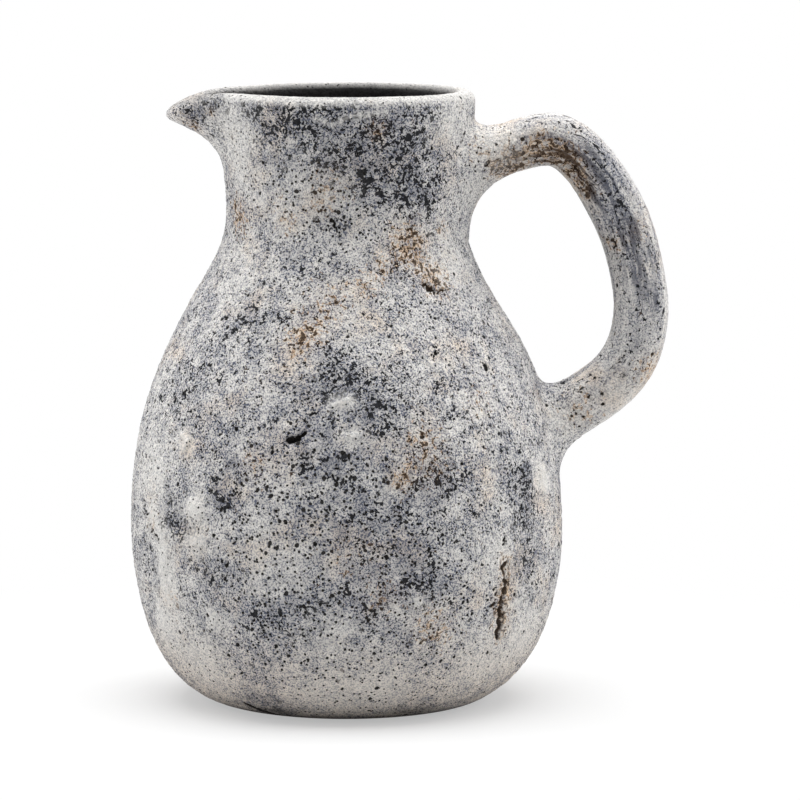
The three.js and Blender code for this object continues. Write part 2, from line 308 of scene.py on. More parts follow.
outside = half_profile(outline, 0.0, 1, MOUTH_RADIUS - RIM_EDGE)
inside = half_profile(inner_line, BASE_THICKNESS, -1, MOUTH_RADIUS - RIM_WALL + RIM_EDGE)
face_rows = len(outside)
profile = np.vstack([outside, inside[::-1][1:]]) * MM
print(face_rows, "rows on each face, joins at rows", seam_rows)

# %% [markdown]
# ## Turning the wall
# A wheel turns one outline about the axis, and the potter then pinches the lip out with two
# fingers. A Screw modifier can turn the outline, but it can't pull the lip. In this tree a
# flat grid is rolled up: each column is an angle, each row takes its radius and height from
# the outline, and near the lip's angle both are moved by a bell curve that grows with
# height. The lip is then part of the same smooth wall.

# %% Tree of the turned wall
LIP_BLEND = 0.3
modulo, whole_part, exponent = map(maths, ("MODULO", "FLOOR", "EXPONENT"))
cosine, sine, smooth_least = map(maths, ("COSINE", "SINE", "SMOOTH_MIN"))


def sheet_of(tree, columns, rows):
    """A flat grid, and the row and column of each of its points."""
    index = add(tree, "GeometryNodeInputIndex")
    return (join("GeometryNodeMeshGrid", 1.0, 1.0, columns, rows),
            modulo(index, rows), whole_part(over(index, rows)))


def shown_by(chosen):
    """The geometry of an object that is an input of a tree."""
    return join("GeometryNodeObjectInfo", chosen).node.outputs["Geometry"]


def bell(distance, half_width):
    share = over(distance, half_width)
    return exponent(times(times(share, share), -1.0))


turned_wall, given, result = geometry_tree("turned_wall", {
    "Object": ["Outline"], "Int": ["Columns"],
    "Float": ["Mouth Radius", "Lip Reach", "Lip Half Width", "Lip Start", "Lip Nose",
              "Lip Roll", "Lip Dip", "Lip Trough", "Lip Rounding"]})
rows_mesh = shown_by(given["Outline"])
row_count = join("GeometryNodeAttributeDomainSize", rows_mesh)
sheet, row, column = sheet_of(turned_wall, plus(given["Columns"], 1), row_count)
row_place = join("GeometryNodeSampleIndex", rows_mesh,
                 add(turned_wall, "GeometryNodeInputPosition"), row,
                 data_type="FLOAT_VECTOR")
radius, lean_shift, height = join("ShaderNodeSeparateXYZ", row_place).node.outputs
turn = scaled(over(column, given["Columns"]), 2 * math.pi, math.pi / 2)
sideways = times(minus(turn, math.pi), given["Mouth Radius"])
rise = most(0.0, join("ShaderNodeMapRange", height, given["Lip Start"], given["Lip Nose"],
                      0.0, 1.0, clamp=False))
climb = smooth_least(times(rise, rise), 1.0, LIP_BLEND)
roll_back = times(given["Lip Rounding"], ramp(
    height, given["Lip Nose"], plus(given["Lip Nose"], given["Lip Roll"])))
pull = minus(times(climb, given["Lip Reach"]), roll_back)
pull = times(pull, bell(sideways, given["Lip Half Width"]))
sink = times(times(climb, given["Lip Dip"]), bell(sideways, given["Lip Trough"]))
reach = plus(radius, pull)
place = join("ShaderNodeCombineXYZ", scaled(reach, cosine(turn), lean_shift),
             times(reach, sine(turn)), minus(height, sink))
rolled = join("GeometryNodeSetPosition", sheet, None, place)
end_tree(turned_wall, rolled, given["Material"], result)

# %% Roll up the wall
COLUMNS = 720
LIP_SIZES = {"Mouth Radius": MOUTH_RADIUS, "Lip Reach": 22.0, "Lip Half Width": 17.0,
             "Lip Start": 226.0, "Lip Nose": 253.0, "Lip Roll": 9.0, "Lip Dip": 5.5,
             "Lip Trough": 11.0, "Lip Rounding": 2.2}
skin = bpy.data.materials.new("weathered_terracotta")
handle_skin = bpy.data.materials.new("streaked_terracotta")
lean = lean_at(profile[:, 1] / MM) * MM
outline_rows = bpy.data.meshes.new("outline_rows")
outline_rows.from_pydata([(r, shift, z) for (r, z), shift in zip(profile, lean)], [], [])
outline_object = linked_object("outline_rows", outline_rows)
wall = linked_object("whole_wall", bpy.data.meshes.new("whole_wall"))
set_inputs(wall, turned_wall, LIP_SIZES, {
    "Outline": outline_object, "Columns": COLUMNS, "Material": skin})
smooth_wall = evaluated_mesh(wall)
print("smooth wall has", len(smooth_wall.vertices), "points")

# %% [markdown]
# ## The line of the handle
# The handle is a fat strap, pulled from a lump of clay and bent into a loop. Its middle
# line goes through six points: two roots on the wall, and the arch, elbow, grip and heel
# between them. A curve through these points with tension from their distances has no
# loops, and each end runs 5 mm into the wall so that no end face shows.

# %% Handle line
UPPER_ROOT, LOWER_ROOT, ROOT_DEPTH, LOOP_STEPS = 229.8, 119.0, 5.0, 80
# Each row: height, and distance from the wall.
HANDLE_STOPS = ((238.2, 36.0), (212.0, 61.6), (166.0, 56.4), (140.2, 35.5))
stops = np.array([(wall_radius(z) + standoff, z) for z, standoff in
                  ((UPPER_ROOT, 0.0), *HANDLE_STOPS, (LOWER_ROOT, 0.0))])
BURIED = 1.5 * WALL


def beyond(end, neighbour, distance):
    way = end - neighbour
    return end + way / np.linalg.norm(way) * distance


def loop_piece(before, start, end, after):
    """One stretch of a centripetal curve, from start to end."""
    gaps = [math.sqrt(np.linalg.norm(b - a)) for a, b in
            ((before, start), (start, end), (end, after))]
    leave = ((start - before) / gaps[0] - (end - before) / (gaps[0] + gaps[1])
             + (end - start) / gaps[1]) * gaps[1]
    arrive = ((end - start) / gaps[1] - (after - start) / (gaps[1] + gaps[2])
              + (after - end) / gaps[2]) * gaps[1]
    t = np.linspace(0, 1, LOOP_STEPS, endpoint=False)[:, None]
    return ((2 * t ** 3 - 3 * t ** 2 + 1) * start + (t ** 3 - 2 * t ** 2 + t) * leave
            + (3 * t ** 2 - 2 * t ** 3) * end + (t ** 3 - t ** 2) * arrive)


knots = np.vstack([beyond(stops[0], stops[1], BURIED), stops,
                   beyond(stops[-1], stops[-2], BURIED)])
knots = np.vstack([2 * knots[0] - knots[1], knots, 2 * knots[-1] - knots[-2]])
line = np.vstack([loop_piece(*knots[i:i + 4]) for i in range(len(knots) - 3)])
line_walk = walked(line)
root_walks = line_walk[[LOOP_STEPS, LOOP_STEPS * len(stops)]]
path_walk = np.arange(root_walks[0] - ROOT_DEPTH, root_walks[1] + ROOT_DEPTH, ROW_STEP)
path = follow(path_walk, line_walk, line)
path_length = path_walk[-1] - path_walk[0]
print("handle line is", round(path_length, 1), "mm long")

# %% [markdown]
# ## Pulling the handle
# The section of the strap is an oval with flattened sides, about 26 mm wide and a little
# thicker towards the belly. Curve to Mesh could sweep a fixed section, but a pulled handle
# swells along its length. This tree rolls a grid round the line: each row takes its place
# and direction from the curve, and each column is an angle of the flattened oval. The
# first and last rows shrink to points and close the ends. A "flow" attribute keeps the
# strap as if it were straight, for patterns that run along it.

# %% Tree of the pulled handle
MERGE_GAP = 1e-5
greater, less, raised = map(maths, ("GREATER_THAN", "LESS_THAN", "POWER"))
absolute, sign = map(maths, ("ABSOLUTE", "SIGN"))
pulled_handle, given, result = geometry_tree("pulled_handle", {
    "Object": ["Line"], "Int": ["Steps", "Sides"],
    "Float": ["Upper Thickness", "Lower Thickness", "Width", "Squareness", "Elbow Swell",
              "Elbow Share", "Elbow Spread", "Flow Length"]})
strip, row, column = sheet_of(pulled_handle, plus(given["Sides"], 1), plus(given["Steps"], 3))
share = join("ShaderNodeMapRange", row, 1.0, plus(given["Steps"], 1), 0.0, 1.0)
last_row = plus(given["Steps"], 2)
open_row = times(greater(row, 0.5), less(row, minus(last_row, 0.5)))
along = join("GeometryNodeSampleCurve", shown_by(given["Line"]), None, share,
             mode="FACTOR", use_all_curves=True).node.outputs
across = vector_maths("NORMALIZE", vector_maths(
    "CROSS_PRODUCT", along["Tangent"], (0, 1, 0)))
angle = times(over(column, given["Sides"]), -2 * math.pi)
flatness = over(2.0, given["Squareness"])


def flattened(wave):
    return times(raised(absolute(wave), flatness), sign(wave))


thick = join("ShaderNodeMix", share, given["Upper Thickness"], given["Lower Thickness"])
elbow = bell(minus(share, given["Elbow Share"]), given["Elbow Spread"])
thick = scaled(elbow, given["Elbow Swell"], thick)
depth_part = times(times(times(thick, 0.5), open_row), flattened(cosine(angle)))
side_part = times(times(times(given["Width"], 0.5), open_row), flattened(sine(angle)))
offset = vector_maths("ADD", vector_maths("SCALE", across, depth_part),
                      join("ShaderNodeCombineXYZ", 0.0, side_part, 0.0))
place = vector_maths("ADD", along["Position"], offset)
swept = join("GeometryNodeSetPosition", strip, None, place)
straight = join("ShaderNodeCombineXYZ", depth_part, side_part, join(
    "ShaderNodeMapRange", share, 0.0, 1.0, 0.0, given["Flow Length"]))
swept = join("GeometryNodeStoreNamedAttribute", swept, None, "flow", straight,
             data_type="FLOAT_VECTOR", domain="POINT")
closed = join("GeometryNodeMergeByDistance", swept, None, MERGE_GAP)
end_tree(pulled_handle, closed, given["Material"], result)

# %% Sweep the handle
HANDLE_UPPER, HANDLE_LOWER, HANDLE_WIDTH, HANDLE_SQUARENESS = 21.5, 25.5, 26.0, 2.5
ELBOW_SWELL, ELBOW_SHARE, ELBOW_SPREAD = 1.2, 0.36, 0.14
HANDLE_SIDES, FLOW_LENGTH = 96, 290.0
line_curve = bpy.data.curves.new("handle_line", "CURVE")
line_curve.dimensions = "3D"
spline = line_curve.splines.new("POLY")
spline.points.add(len(path) - 1)
for point, (x, z) in zip(spline.points, path):
    point.co = (x * MM, 0, z * MM, 1)
line_object = linked_object("handle_line", line_curve)
handle = linked_object("handle_strap", bpy.data.meshes.new("handle_strap"))
set_inputs(handle, pulled_handle, {
    "Upper Thickness": HANDLE_UPPER, "Lower Thickness": HANDLE_LOWER, "Width": HANDLE_WIDTH,
    "Elbow Swell": ELBOW_SWELL, "Flow Length": FLOW_LENGTH}, {
    "Line": line_object, "Steps": len(path) - 1, "Sides": HANDLE_SIDES,
    "Squareness": HANDLE_SQUARENESS, "Elbow Share": ELBOW_SHARE,
    "Elbow Spread": ELBOW_SPREAD, "Material": handle_skin})
smooth_handle = evaluated_mesh(handle)
print("smooth handle has", len(smooth_handle.vertices), "points")

# %% [markdown]
# ## Clay packed round the roots
# Where the handle meets the wall the potter packs soft clay and wipes it into a hollow
# curve. For every angle round the handle, a curve starts along the handle's side, turns in
# the corner and ends along the wall. All these curves together are a skirt. The underside
# of the skirt lies a little inside the wall and the handle, so its edges feather out.

# %% Points on the handle and on the wall
def handle_point(walks, angles, inset=0.0):
    """Points of the handle's side, in millimetres."""
    place = follow(walks, path_walk, path)
    way = follow(walks, path_walk, np.gradient(path, path_walk, axis=0))
    way /= np.linalg.norm(way, axis=1)[:, None]
    across = np.column_stack([-way[:, 1], way[:, 0]])
    shares = (walks - path_walk[0]) / path_length
    half = (HANDLE_UPPER + (HANDLE_LOWER - HANDLE_UPPER) * shares) / 2
    depth, side = (np.sign(wave) * np.abs(wave) ** (2 / HANDLE_SQUARENESS)
                   for wave in (np.cos(angles), np.sin(angles)))
    flat = place + across * (depth * (half - inset))[:, None]
    return np.column_stack([flat[:, 0], side * (HANDLE_WIDTH / 2 - inset), flat[:, 1]])


def on_wall(points, inset=0.0):
    """Moves points sideways on to the wall, or a little inside it."""
    moved = points.copy()
    moved[:, 0] -= lean_at(points[:, 2])
    spread = np.hypot(moved[:, 0], moved[:, 1])
    moved[:, :2] *= ((wall_radius(points[:, 2]) - inset) / spread)[:, None]
    moved[:, 0] += lean_at(points[:, 2])
    return moved


print("handle leaves the wall at", root_walks.round(1), "mm along its line")

# %% Lutings
LUTING_SIDES, LUTING_STEPS, UNDER_STEPS = 180, 34, 12
EDGE_TUCK, UNDER_TUCK, SEARCH_REACH, HALVINGS = 0.8, 1.2, 26.0, 40
luting_angles = np.linspace(0, 2 * math.pi, LUTING_SIDES, endpoint=False)
under_shares = np.linspace(0, 1, UNDER_STEPS)[1:-1]


def corner_walks(root_walk, way):
    """How far along its line each side of the handle comes out of the wall."""
    near = np.full(LUTING_SIDES, root_walk - way * ROOT_DEPTH)
    far = np.full(LUTING_SIDES, root_walk + way * SEARCH_REACH)
    for _ in range(HALVINGS):
        middle = (near + far) / 2
        trial = handle_point(middle, luting_angles)
        from_axis = trial[:, 0] - lean_at(trial[:, 2])
        out = np.hypot(from_axis, trial[:, 1]) > wall_radius(trial[:, 2])
        far, near = np.where(out, middle, far), np.where(out, near, middle)
    return (near + far) / 2


def luting(name, root_walk, way, grip, reach_below, reach_above):
    """A skirt of clay round one root; way is 1 where the line leaves the wall."""
    corner_walk = corner_walks(root_walk, way)
    corner = handle_point(corner_walk, luting_angles)
    centre = np.array([corner[:, 0].mean(), 0.0, corner[:, 2].mean()])
    glow_share = corner - centre
    glow_share /= np.linalg.norm(glow_share[:, 1:], axis=1)[:, None]
    reach = np.interp(glow_share[:, 2], [-1, 1], [reach_below, reach_above])
    foot = on_wall(corner + glow_share * [0, 1, 1] * reach[:, None])
    grip_walk = corner_walk + way * grip
    grip_ring = handle_point(grip_walk, luting_angles)
    rings = [(1 - t) ** 2 * grip_ring + 2 * t * (1 - t) * corner + t * t * foot
             for t in np.linspace(0, 1, LUTING_STEPS)]
    rings[0] = handle_point(grip_walk, luting_angles, EDGE_TUCK)
    rings[-1] = on_wall(foot, EDGE_TUCK)
    rings += [on_wall(foot + (corner - foot) * t, UNDER_TUCK) for t in under_shares]
    rings += [handle_point(corner_walk + (grip_walk - corner_walk) * t, luting_angles,
                           UNDER_TUCK) for t in under_shares]
    numbers = np.arange(len(rings) * LUTING_SIDES).reshape(-1, LUTING_SIDES)
    below, beside = np.roll(numbers, -1, axis=0), np.roll(numbers, -1, axis=1)
    quads = np.stack([numbers, below, np.roll(below, -1, axis=1), beside], axis=-1)
    quads = quads.reshape(-1, 4)[:, ::-way]
    mesh = bpy.data.meshes.new(name)
    mesh.from_pydata((np.array(rings) * MM).reshape(-1, 3).tolist(), [], quads.tolist())
    mesh.materials.append(skin)
    return linked_object(name, mesh)


upper_luting = luting("upper_root_clay", root_walks[0], way=1, grip=23.0,
                      reach_below=23.0, reach_above=8.0)
lower_luting = luting("lower_root_clay", root_walks[1], way=-1, grip=13.0,
                      reach_below=10.0, reach_above=8.0)
print("lutings:", [len(o.data.polygons) for o in (upper_luting, lower_luting)])

# %% [markdown]
# ## Marks of age
# The photograph shows one deep gouge, an upright crack by the right side, several short
# cracks and chipped pits, and a few raised scabs of wash. These are particular marks, so
# they are listed one by one, each by its pixel: a ray from the camera finds the place on the
# smooth surface. A crack is a chain of small hollows along a bent line. A negative depth
# makes a raised scab. The unseen back gets the same marks, turned round the axis.

# %% Pixel to place
surface_points, surface_faces = [], []
for mesh in (smooth_wall, smooth_handle, upper_luting.data, lower_luting.data):
    start = len(surface_points)
    surface_points.extend(vertex.co.copy() for vertex in mesh.vertices)
    surface_faces.extend([start + i for i in face.vertices] for face in mesh.polygons)
surface = BVHTree.FromPolygons(surface_points, surface_faces)
BACK_TURN = math.radians(171)
BACK_COS, BACK_SIN = math.cos(BACK_TURN), math.sin(BACK_TURN)


def spot(pixel_x, pixel_y):
    """The place on the jug that a pixel shows, or None beside it."""
    return surface.ray_cast(CAMERA_PLACE, view_ray(pixel_x, pixel_y))[0]


def with_back(rows):
    """Rows that start with a place, and the same rows on the back of the pot."""
    rows = [row for row in rows if row[0] is not None]
    return rows + [(Vector((place.x * BACK_COS - place.y * BACK_SIN,
                            place.x * BACK_SIN + place.y * BACK_COS, place.z)), *rest)
                   for place, *rest in rows
                   if math.hypot(place.x, place.y) < BELLY_RADIUS * MM]


print("surface of", len(surface_faces), "faces")

# %% Marks
# Each row: radius and depth in millimetres, then the pixels of the line.
MARKS = (
    (1.9, 3.6, (289, 440), (297, 439)), (1.3, 3.0, (297, 438), (305, 433)),
    (1.1, 1.4, (507, 537), (506, 545)), (1.0, 1.3, (508, 560), (504, 568), (507, 577)),
    (1.2, 1.6, (505, 577), (507, 585), (504, 592)),
    (1.3, 2.0, (505, 594), (503, 601), (504, 608)),
    (1.6, 3.0, (501, 610), (503, 616), (500, 622), (503, 627), (499, 632), (500, 639)),
    (0.9, 1.4, (496, 604), (494, 607)), (1.0, 1.4, (499, 592), (497, 595)),
    (1.3, 2.2, (425, 283), (431, 288), (438, 292)), (0.9, 1.6, (440, 290), (448, 289)),
    (0.9, 1.2, (330, 219), (339, 233)), (1.5, 2.2, (487, 365), (488, 368)),
    (1.4, 2.2, (486, 166), (489, 163)), (1.2, 1.6, (302, 464), (302, 465)),
    (1.2, 1.6, (302, 485), (303, 485)), (1.1, 1.6, (336, 468), (337, 469)),
    (1.2, 1.6, (331, 475), (332, 475)), (1.0, 1.4, (337, 478), (337, 479)),
    (1.1, 1.6, (275, 509), (276, 510)), (1.1, 1.6, (271, 453), (271, 454)),
    (1.0, 1.4, (366, 529), (366, 530)), (1.1, 1.5, (388, 557), (388, 558)),
    (1.1, 1.5, (313, 543), (313, 544)), (1.0, 1.4, (313, 381), (314, 381)),
    (1.0, 1.4, (423, 437), (424, 437)), (1.0, 1.4, (402, 478), (402, 479)),
    (1.1, 1.4, (377, 131), (378, 131)), (2.8, 1.6, (567, 166), (575, 170)),
    (2.8, 1.5, (586, 184), (591, 195)), (0.9, 1.4, (608, 239), (614, 243), (616, 249)),
    (0.5, 0.9, (613, 368), (621, 360), (629, 348)), (1.1, 1.4, (567, 408), (568, 409)),
    (1.1, 1.4, (575, 414), (576, 414)), (1.0, 1.4, (582, 416), (583, 417)),
    (1.1, 1.4, (569, 423), (570, 423)), (1.0, 1.4, (610, 386), (611, 386)),
    (1.0, 1.4, (602, 405), (603, 406)), (0.9, 1.4, (578, 392), (579, 392)),
    (0.9, 1.4, (588, 395), (589, 396)),
    (0.9, 1.4, (142, 500), (144, 512), (148, 522), (150, 531), (157, 540)),
    (1.0, 1.2, (210, 113), (211, 115)), (1.1, 1.4, (192, 126), (194, 126)),
    (0.9, 1.0, (234, 541), (233, 545)), (0.8, 1.0, (231, 552), (230, 554)),
    (0.9, 1.0, (225, 563), (224, 568)), (0.8, 1.0, (223, 577), (222, 580)),
    (1.6, -0.8, (333, 406), (338, 404)), (1.5, -0.8, (344, 401), (349, 399)),
    (1.6, -0.8, (347, 438), (360, 435)), (1.8, -1.0, (180, 434), (187, 441), (183, 450)),
    (5.0, -1.7, (193, 507), (197, 511)),
    (4.0, -0.7, (152, 508), (160, 530), (164, 552), (162, 570)),
    (4.0, -0.6, (163, 585), (168, 604)), (1.8, -0.9, (208, 612), (214, 620), (212, 626)),
    (3.4, -0.9, (192, 542), (202, 540)), (1.6, -0.7, (414, 604), (421, 602)),
    (5.0, -0.8, (544, 474), (545, 486)),
    (1.2, -0.45, (316, 119), (332, 125), (351, 116), (368, 115), (387, 112)),
    (8.0, 1.3, (146, 548), (146, 560), (147, 575), (148, 590), (150, 602)),
    (6.0, 0.9, (178, 520), (182, 532)), (6.0, 0.8, (528, 560), (531, 575)),
    (1.6, -0.7, (509, 608), (518, 603), (527, 597)), (1.4, 1.6, (511, 171), (516, 174)),
    (1.0, 1.3, (497, 160), (499, 161)),
    (2.4, 1.6, (247, 706), (254, 709), (263, 712), (276, 715), (292, 717)),
    (1.8, 1.2, (398, 717), (412, 716), (426, 714)),
)
NARROW, RAGGED_PIXELS, RAGGED_SIZES = 1.5, 0.8, (0.5, 1.1)
LEAST_SPACING, SPACING_SHARE = 1.2, 0.8
marks = []
ragged = np.random.default_rng(5)
for mark_radius, mark_depth, *pixels in MARKS:
    spacing = max(LEAST_SPACING, SPACING_SHARE * mark_radius)
    narrow = mark_radius < NARROW and mark_depth > 0
    for (x0, y0), (x1, y1) in zip(pixels[:-1], pixels[1:]):
        count = max(2, math.ceil(math.dist((x0, y0), (x1, y1)) / spacing))
        for share in np.linspace(0, 1, count):
            stray_x, stray_y = ragged.normal(0, RAGGED_PIXELS, 2) * narrow
            size = mark_radius * (ragged.uniform(*RAGGED_SIZES) if narrow else 1.0)
            marks.append((spot(x0 + (x1 - x0) * share + stray_x,
                               y0 + (y1 - y0) * share + stray_y),
                          size * MM, mark_depth * MM))
marks = with_back(marks)
marks_mesh = bpy.data.meshes.new("marks")
marks_mesh.from_pydata([mark[0] for mark in marks], [], [])
for label, column in (("radius", 1), ("depth", 2)):
    layer = marks_mesh.attributes.new(label, "FLOAT", "POINT")
    layer.data.foreach_set("value", [mark[column] for mark in marks])
marks_object = linked_object("marks", marks_mesh)
print(len(marks), "hollows and scabs placed")

# %% [markdown]
# ## The weathered skin
# Low-fired clay under old limewash is never smooth: it swells and dips softly over a few
# centimetres, has a fine crust, and is dotted with round pores where grit fell out. Bump in
# a material would not change the outline or the mesh, so this tree moves the surface. Noise
# at two sizes gives the dips and the crust, pores are scattered with an even spacing, and
# the listed marks are pressed in last. Everything moves inwards except the scabs. The
# foot stays flat, and the rim, which a wet finger wiped, stays nearly smooth. A "pit"
# attribute tells the material where the hollows are, and "scab" where the scabs are.

# %% Tree of the weathered skin: swell, crust and hollows
weathered_skin, given, result = geometry_tree("weathered_skin", {
    "Object": ["Marks"], "Int": ["Seed"],
    "Float": ["Swell Size", "Swell Depth", "Crust Size", "Crust Depth", "Pore Spacing",
              "Pore Least Radius", "Pore Most Radius", "Pore Depth"]})
spot_place = add(weathered_skin, "GeometryNodeInputPosition")
SWELL_EDGES, CRUST_EDGES, CROWD_EDGES = (0.25, 0.75), (0.3, 0.7), (0.4, 0.62, 0.15, 1.0)
BOWL_EDGES, PORE_DENSITY = (0.4, 1.0, 1.0, 0.0), 9000.0


def noise(vector, scale, detail, roughness=0.55, distortion=0.0):
    return join("ShaderNodeTexNoise", vector, scale, detail, roughness, None, distortion)


def sampled(source, value, nearest, kind="FLOAT"):
    return join("GeometryNodeSampleIndex", source, value, nearest, data_type=kind,
                domain="POINT")


def hollow(source, radius, depth):
    """How deep, how far inside and how wide the nearest hollow of a cloud of points is."""
    nearest = join("GeometryNodeSampleNearest", source, spot_place, domain="POINT")
    centre = sampled(source, spot_place, nearest, "FLOAT_VECTOR")
    wide, deep = sampled(source, radius, nearest), sampled(source, depth, nearest)
    share = over(vector_maths("DISTANCE", spot_place, centre), wide)
    return times(ramp(share, *BOWL_EDGES), deep), share, wide


swell_scale = over(1.0, given["Swell Size"])
swell = ramp(noise(spot_place, swell_scale, 1.0), *SWELL_EDGES)
crust = ramp(noise(spot_place, over(1.0, given["Crust Size"]), 3.0, 0.6), *CRUST_EDGES)
crowd = ramp(noise(spot_place, swell_scale, 2.0), *CROWD_EDGES)
pore_points = join("GeometryNodeDistributePointsOnFaces", given["Geometry"], None,
                   given["Pore Spacing"], PORE_DENSITY, crowd, given["Seed"],
                   distribute_method="POISSON")
chance = join("FunctionNodeRandomValue", 0.0, 1.0, None, given["Seed"])
pore_radius = join("ShaderNodeMix", raised(chance, 2.0), given["Pore Least Radius"],
                   given["Pore Most Radius"])
pore_fall, pore_share, _ = hollow(pore_points, pore_radius, given["Pore Depth"])
mark_fall, mark_share, mark_wide = hollow(shown_by(given["Marks"]), *(
    add(weathered_skin, "GeometryNodeInputNamedAttribute", label)
    for label in ("radius", "depth")))
print("hollows wired with", len(weathered_skin.nodes), "nodes")

# %% Tree of the weathered skin: pressing them in
DENT_RADIUS, FAR_OFF, PIT_REACH = 0.0025, 9.0, 3.0
FOOT_FADE, WIPED_RIM = (0.0, 0.006), (0.240, 0.252, 1.0, 0.25)
SCAB_RISE = (-0.0001, -0.0007)
not_dug = most(greater(mark_wide, DENT_RADIUS), less(mark_fall, 0.0))
pit = least(PIT_REACH, least(pore_share, scaled(not_dug, FAR_OFF, mark_share)))
fall = scaled(swell, given["Swell Depth"], pore_fall)
fall = plus(scaled(crust, given["Crust Depth"], fall), mark_fall)
height = join("ShaderNodeSeparateXYZ", spot_place).node.outputs["Z"]
fall = times(fall, times(ramp(height, *FOOT_FADE), ramp(height, *WIPED_RIM)))
inwards = vector_maths("SCALE", add(weathered_skin, "GeometryNodeInputNormal"),
                       times(fall, -1.0))
marked = given["Geometry"]
for label, value in (("pit", pit), ("scab", ramp(mark_fall, *SCAB_RISE))):
    marked = join("GeometryNodeStoreNamedAttribute", marked, None, label, value,
                  data_type="FLOAT", domain="POINT")
pressed = join("GeometryNodeSetPosition", marked, None, None, inwards)
end_tree(weathered_skin, pressed, given["Material"], result)

# %% Weather the four shells
SKIN_SIZES = {"Swell Size": 45, "Swell Depth": 0.7, "Crust Size": 3.2, "Pore Spacing": 6.0,
              "Pore Least Radius": 0.6, "Pore Most Radius": 1.3, "Pore Depth": 0.8}
# Each row: shell, its material, depth of the crust in millimetres, seed.
SHELLS = ((wall, skin, 0.55, 7), (handle, handle_skin, 0.2, 11),
          (upper_luting, skin, 0.25, 13), (lower_luting, skin, 0.25, 17))
for shell, shell_skin, crust_depth, seed in SHELLS:
    set_inputs(shell, weathered_skin, SKIN_SIZES | {"Crust Depth": crust_depth},
               {"Marks": marks_object, "Seed": seed, "Material": shell_skin})
aged = {shell.name: evaluated_mesh(shell) for shell, *_ in SHELLS}
print({name: len(mesh.vertices) for name, mesh in aged.items()})

# %% [markdown]
# ## Stains
# Damp has left slate-grey patches, ochre bleeds and chalky areas on the wash, and grit
# has left crowds of black pores. Some grey blots are partly painted shade: under the
# handle's arch, on the middle of the belly and on chips at the foot's edge. Some pale blots
# are partly painted highlights, on scabs, lumps and ridges. Each stain is a soft blot in
# space, placed by its pixel, and its strength is kept on the vertices. The blots only steer
# the material, whose noise breaks them up, so no blot has a clean edge.

# %% Stain lists
# Each row: pixel, radius in millimetres, strength.
SLATE_AND_SHADE = (
    (240, 104, 6, 0.7), (255, 110, 8, 0.9), (330, 138, 6, 0.8), (186, 105, 4, 0.9),
    (200, 101, 4, 0.9), (214, 99, 4, 0.8), (226, 109, 5, 0.6), (200, 117, 6, 0.4),
    (529, 470, 4, 1.0), (530, 490, 4, 1.0), (532, 506, 4, 1.0), (532, 522, 4, 0.9),
    (632, 345, 5, 0.45), (622, 372, 5, 0.35), (640, 380, 5, 0.35), (600, 390, 5, 0.3),
    (232, 466, 4, 0.8), (228, 480, 4, 0.9), (224, 494, 4, 0.9), (222, 505, 4, 0.7),
    (290, 112, 9, 0.9), (316, 112, 9, 0.9), (342, 118, 9, 0.8), (272, 155, 7, 0.6),
    (350, 161, 7, 0.5), (373, 174, 9, 0.8), (419, 194, 9, 1.0), (397, 168, 7, 0.6),
    (345, 225, 6, 0.3), (329, 222, 5, 0.3), (254, 320, 14, 0.6), (185, 385, 13, 0.6),
    (205, 372, 9, 0.4), (323, 392, 10, 0.7), (352, 380, 11, 0.7), (378, 418, 9, 0.8),
    (318, 455, 10, 1.0), (445, 478, 9, 1.0), (430, 486, 7, 0.7), (224, 484, 8, 0.8),
    (172, 527, 10, 0.6), (505, 441, 8, 0.7), (522, 480, 8, 0.8), (527, 515, 8, 0.8),
    (531, 555, 9, 0.7), (528, 590, 8, 0.5), (423, 579, 9, 1.0), (434, 590, 6, 0.6),
    (285, 618, 10, 0.9), (306, 628, 8, 0.9), (262, 612, 7, 0.6), (250, 666, 16, 0.4),
    # On the next row, (271, 706) and (417, 708) darken chips at the foot's edge with painted
    # shade, and (350, 520) and (400, 520) darken the middle of the belly, partly as painted
    # shade.
    (271, 706, 10, 0.9), (417, 708, 11, 0.6), (350, 520, 16, 0.35), (400, 520, 16, 0.35),
    (582, 154, 8, 0.9), (600, 175, 8, 0.9), (608, 197, 8, 0.9), (619, 222, 7, 0.9),
    (629, 246, 7, 0.9), (638, 271, 7, 0.8), (648, 293, 6, 0.7), (641, 322, 6, 0.4),
    (641, 228, 4, 0.5), (652, 256, 5, 0.6), (656, 303, 4, 0.6), (510, 153, 7, 0.6),
    # The blots at (573, 168) and (588, 190) darken the hollows under the handle's arch: partly
    # stain, partly painted shade.
    (560, 152, 8, 0.6), (540, 158, 7, 0.5), (573, 168, 5, 1.0), (588, 190, 5, 1.0),
    (508, 168, 5, 0.8), (545, 148, 6, 0.7), (208, 102, 6, 0.6), (192, 108, 6, 0.4),
    (205, 124, 8, 0.3), (222, 492, 6, 0.8), (225, 477, 5, 0.7), (181, 535, 5, 0.9),
    (171, 513, 6, 0.7), (166, 495, 6, 0.6), (151, 562, 5, 0.8), (155, 580, 5, 0.7),
    (141, 546, 4, 0.6), (206, 573, 6, 0.7), (199, 565, 5, 0.6), (222, 557, 5, 0.6),
    (228, 578, 6, 0.7), (206, 633, 6, 0.6), (320, 125, 26, 0.5), (400, 130, 22, 0.45),
    # The wide, faint blots from (335, 470) to the end darken the middle of the belly, partly
    # as painted shade.
    (340, 175, 24, 0.35), (420, 170, 18, 0.35), (335, 470, 26, 0.3), (400, 560, 26, 0.25),
    (300, 610, 30, 0.35), (375, 640, 30, 0.3), (350, 490, 45, 0.15),
)
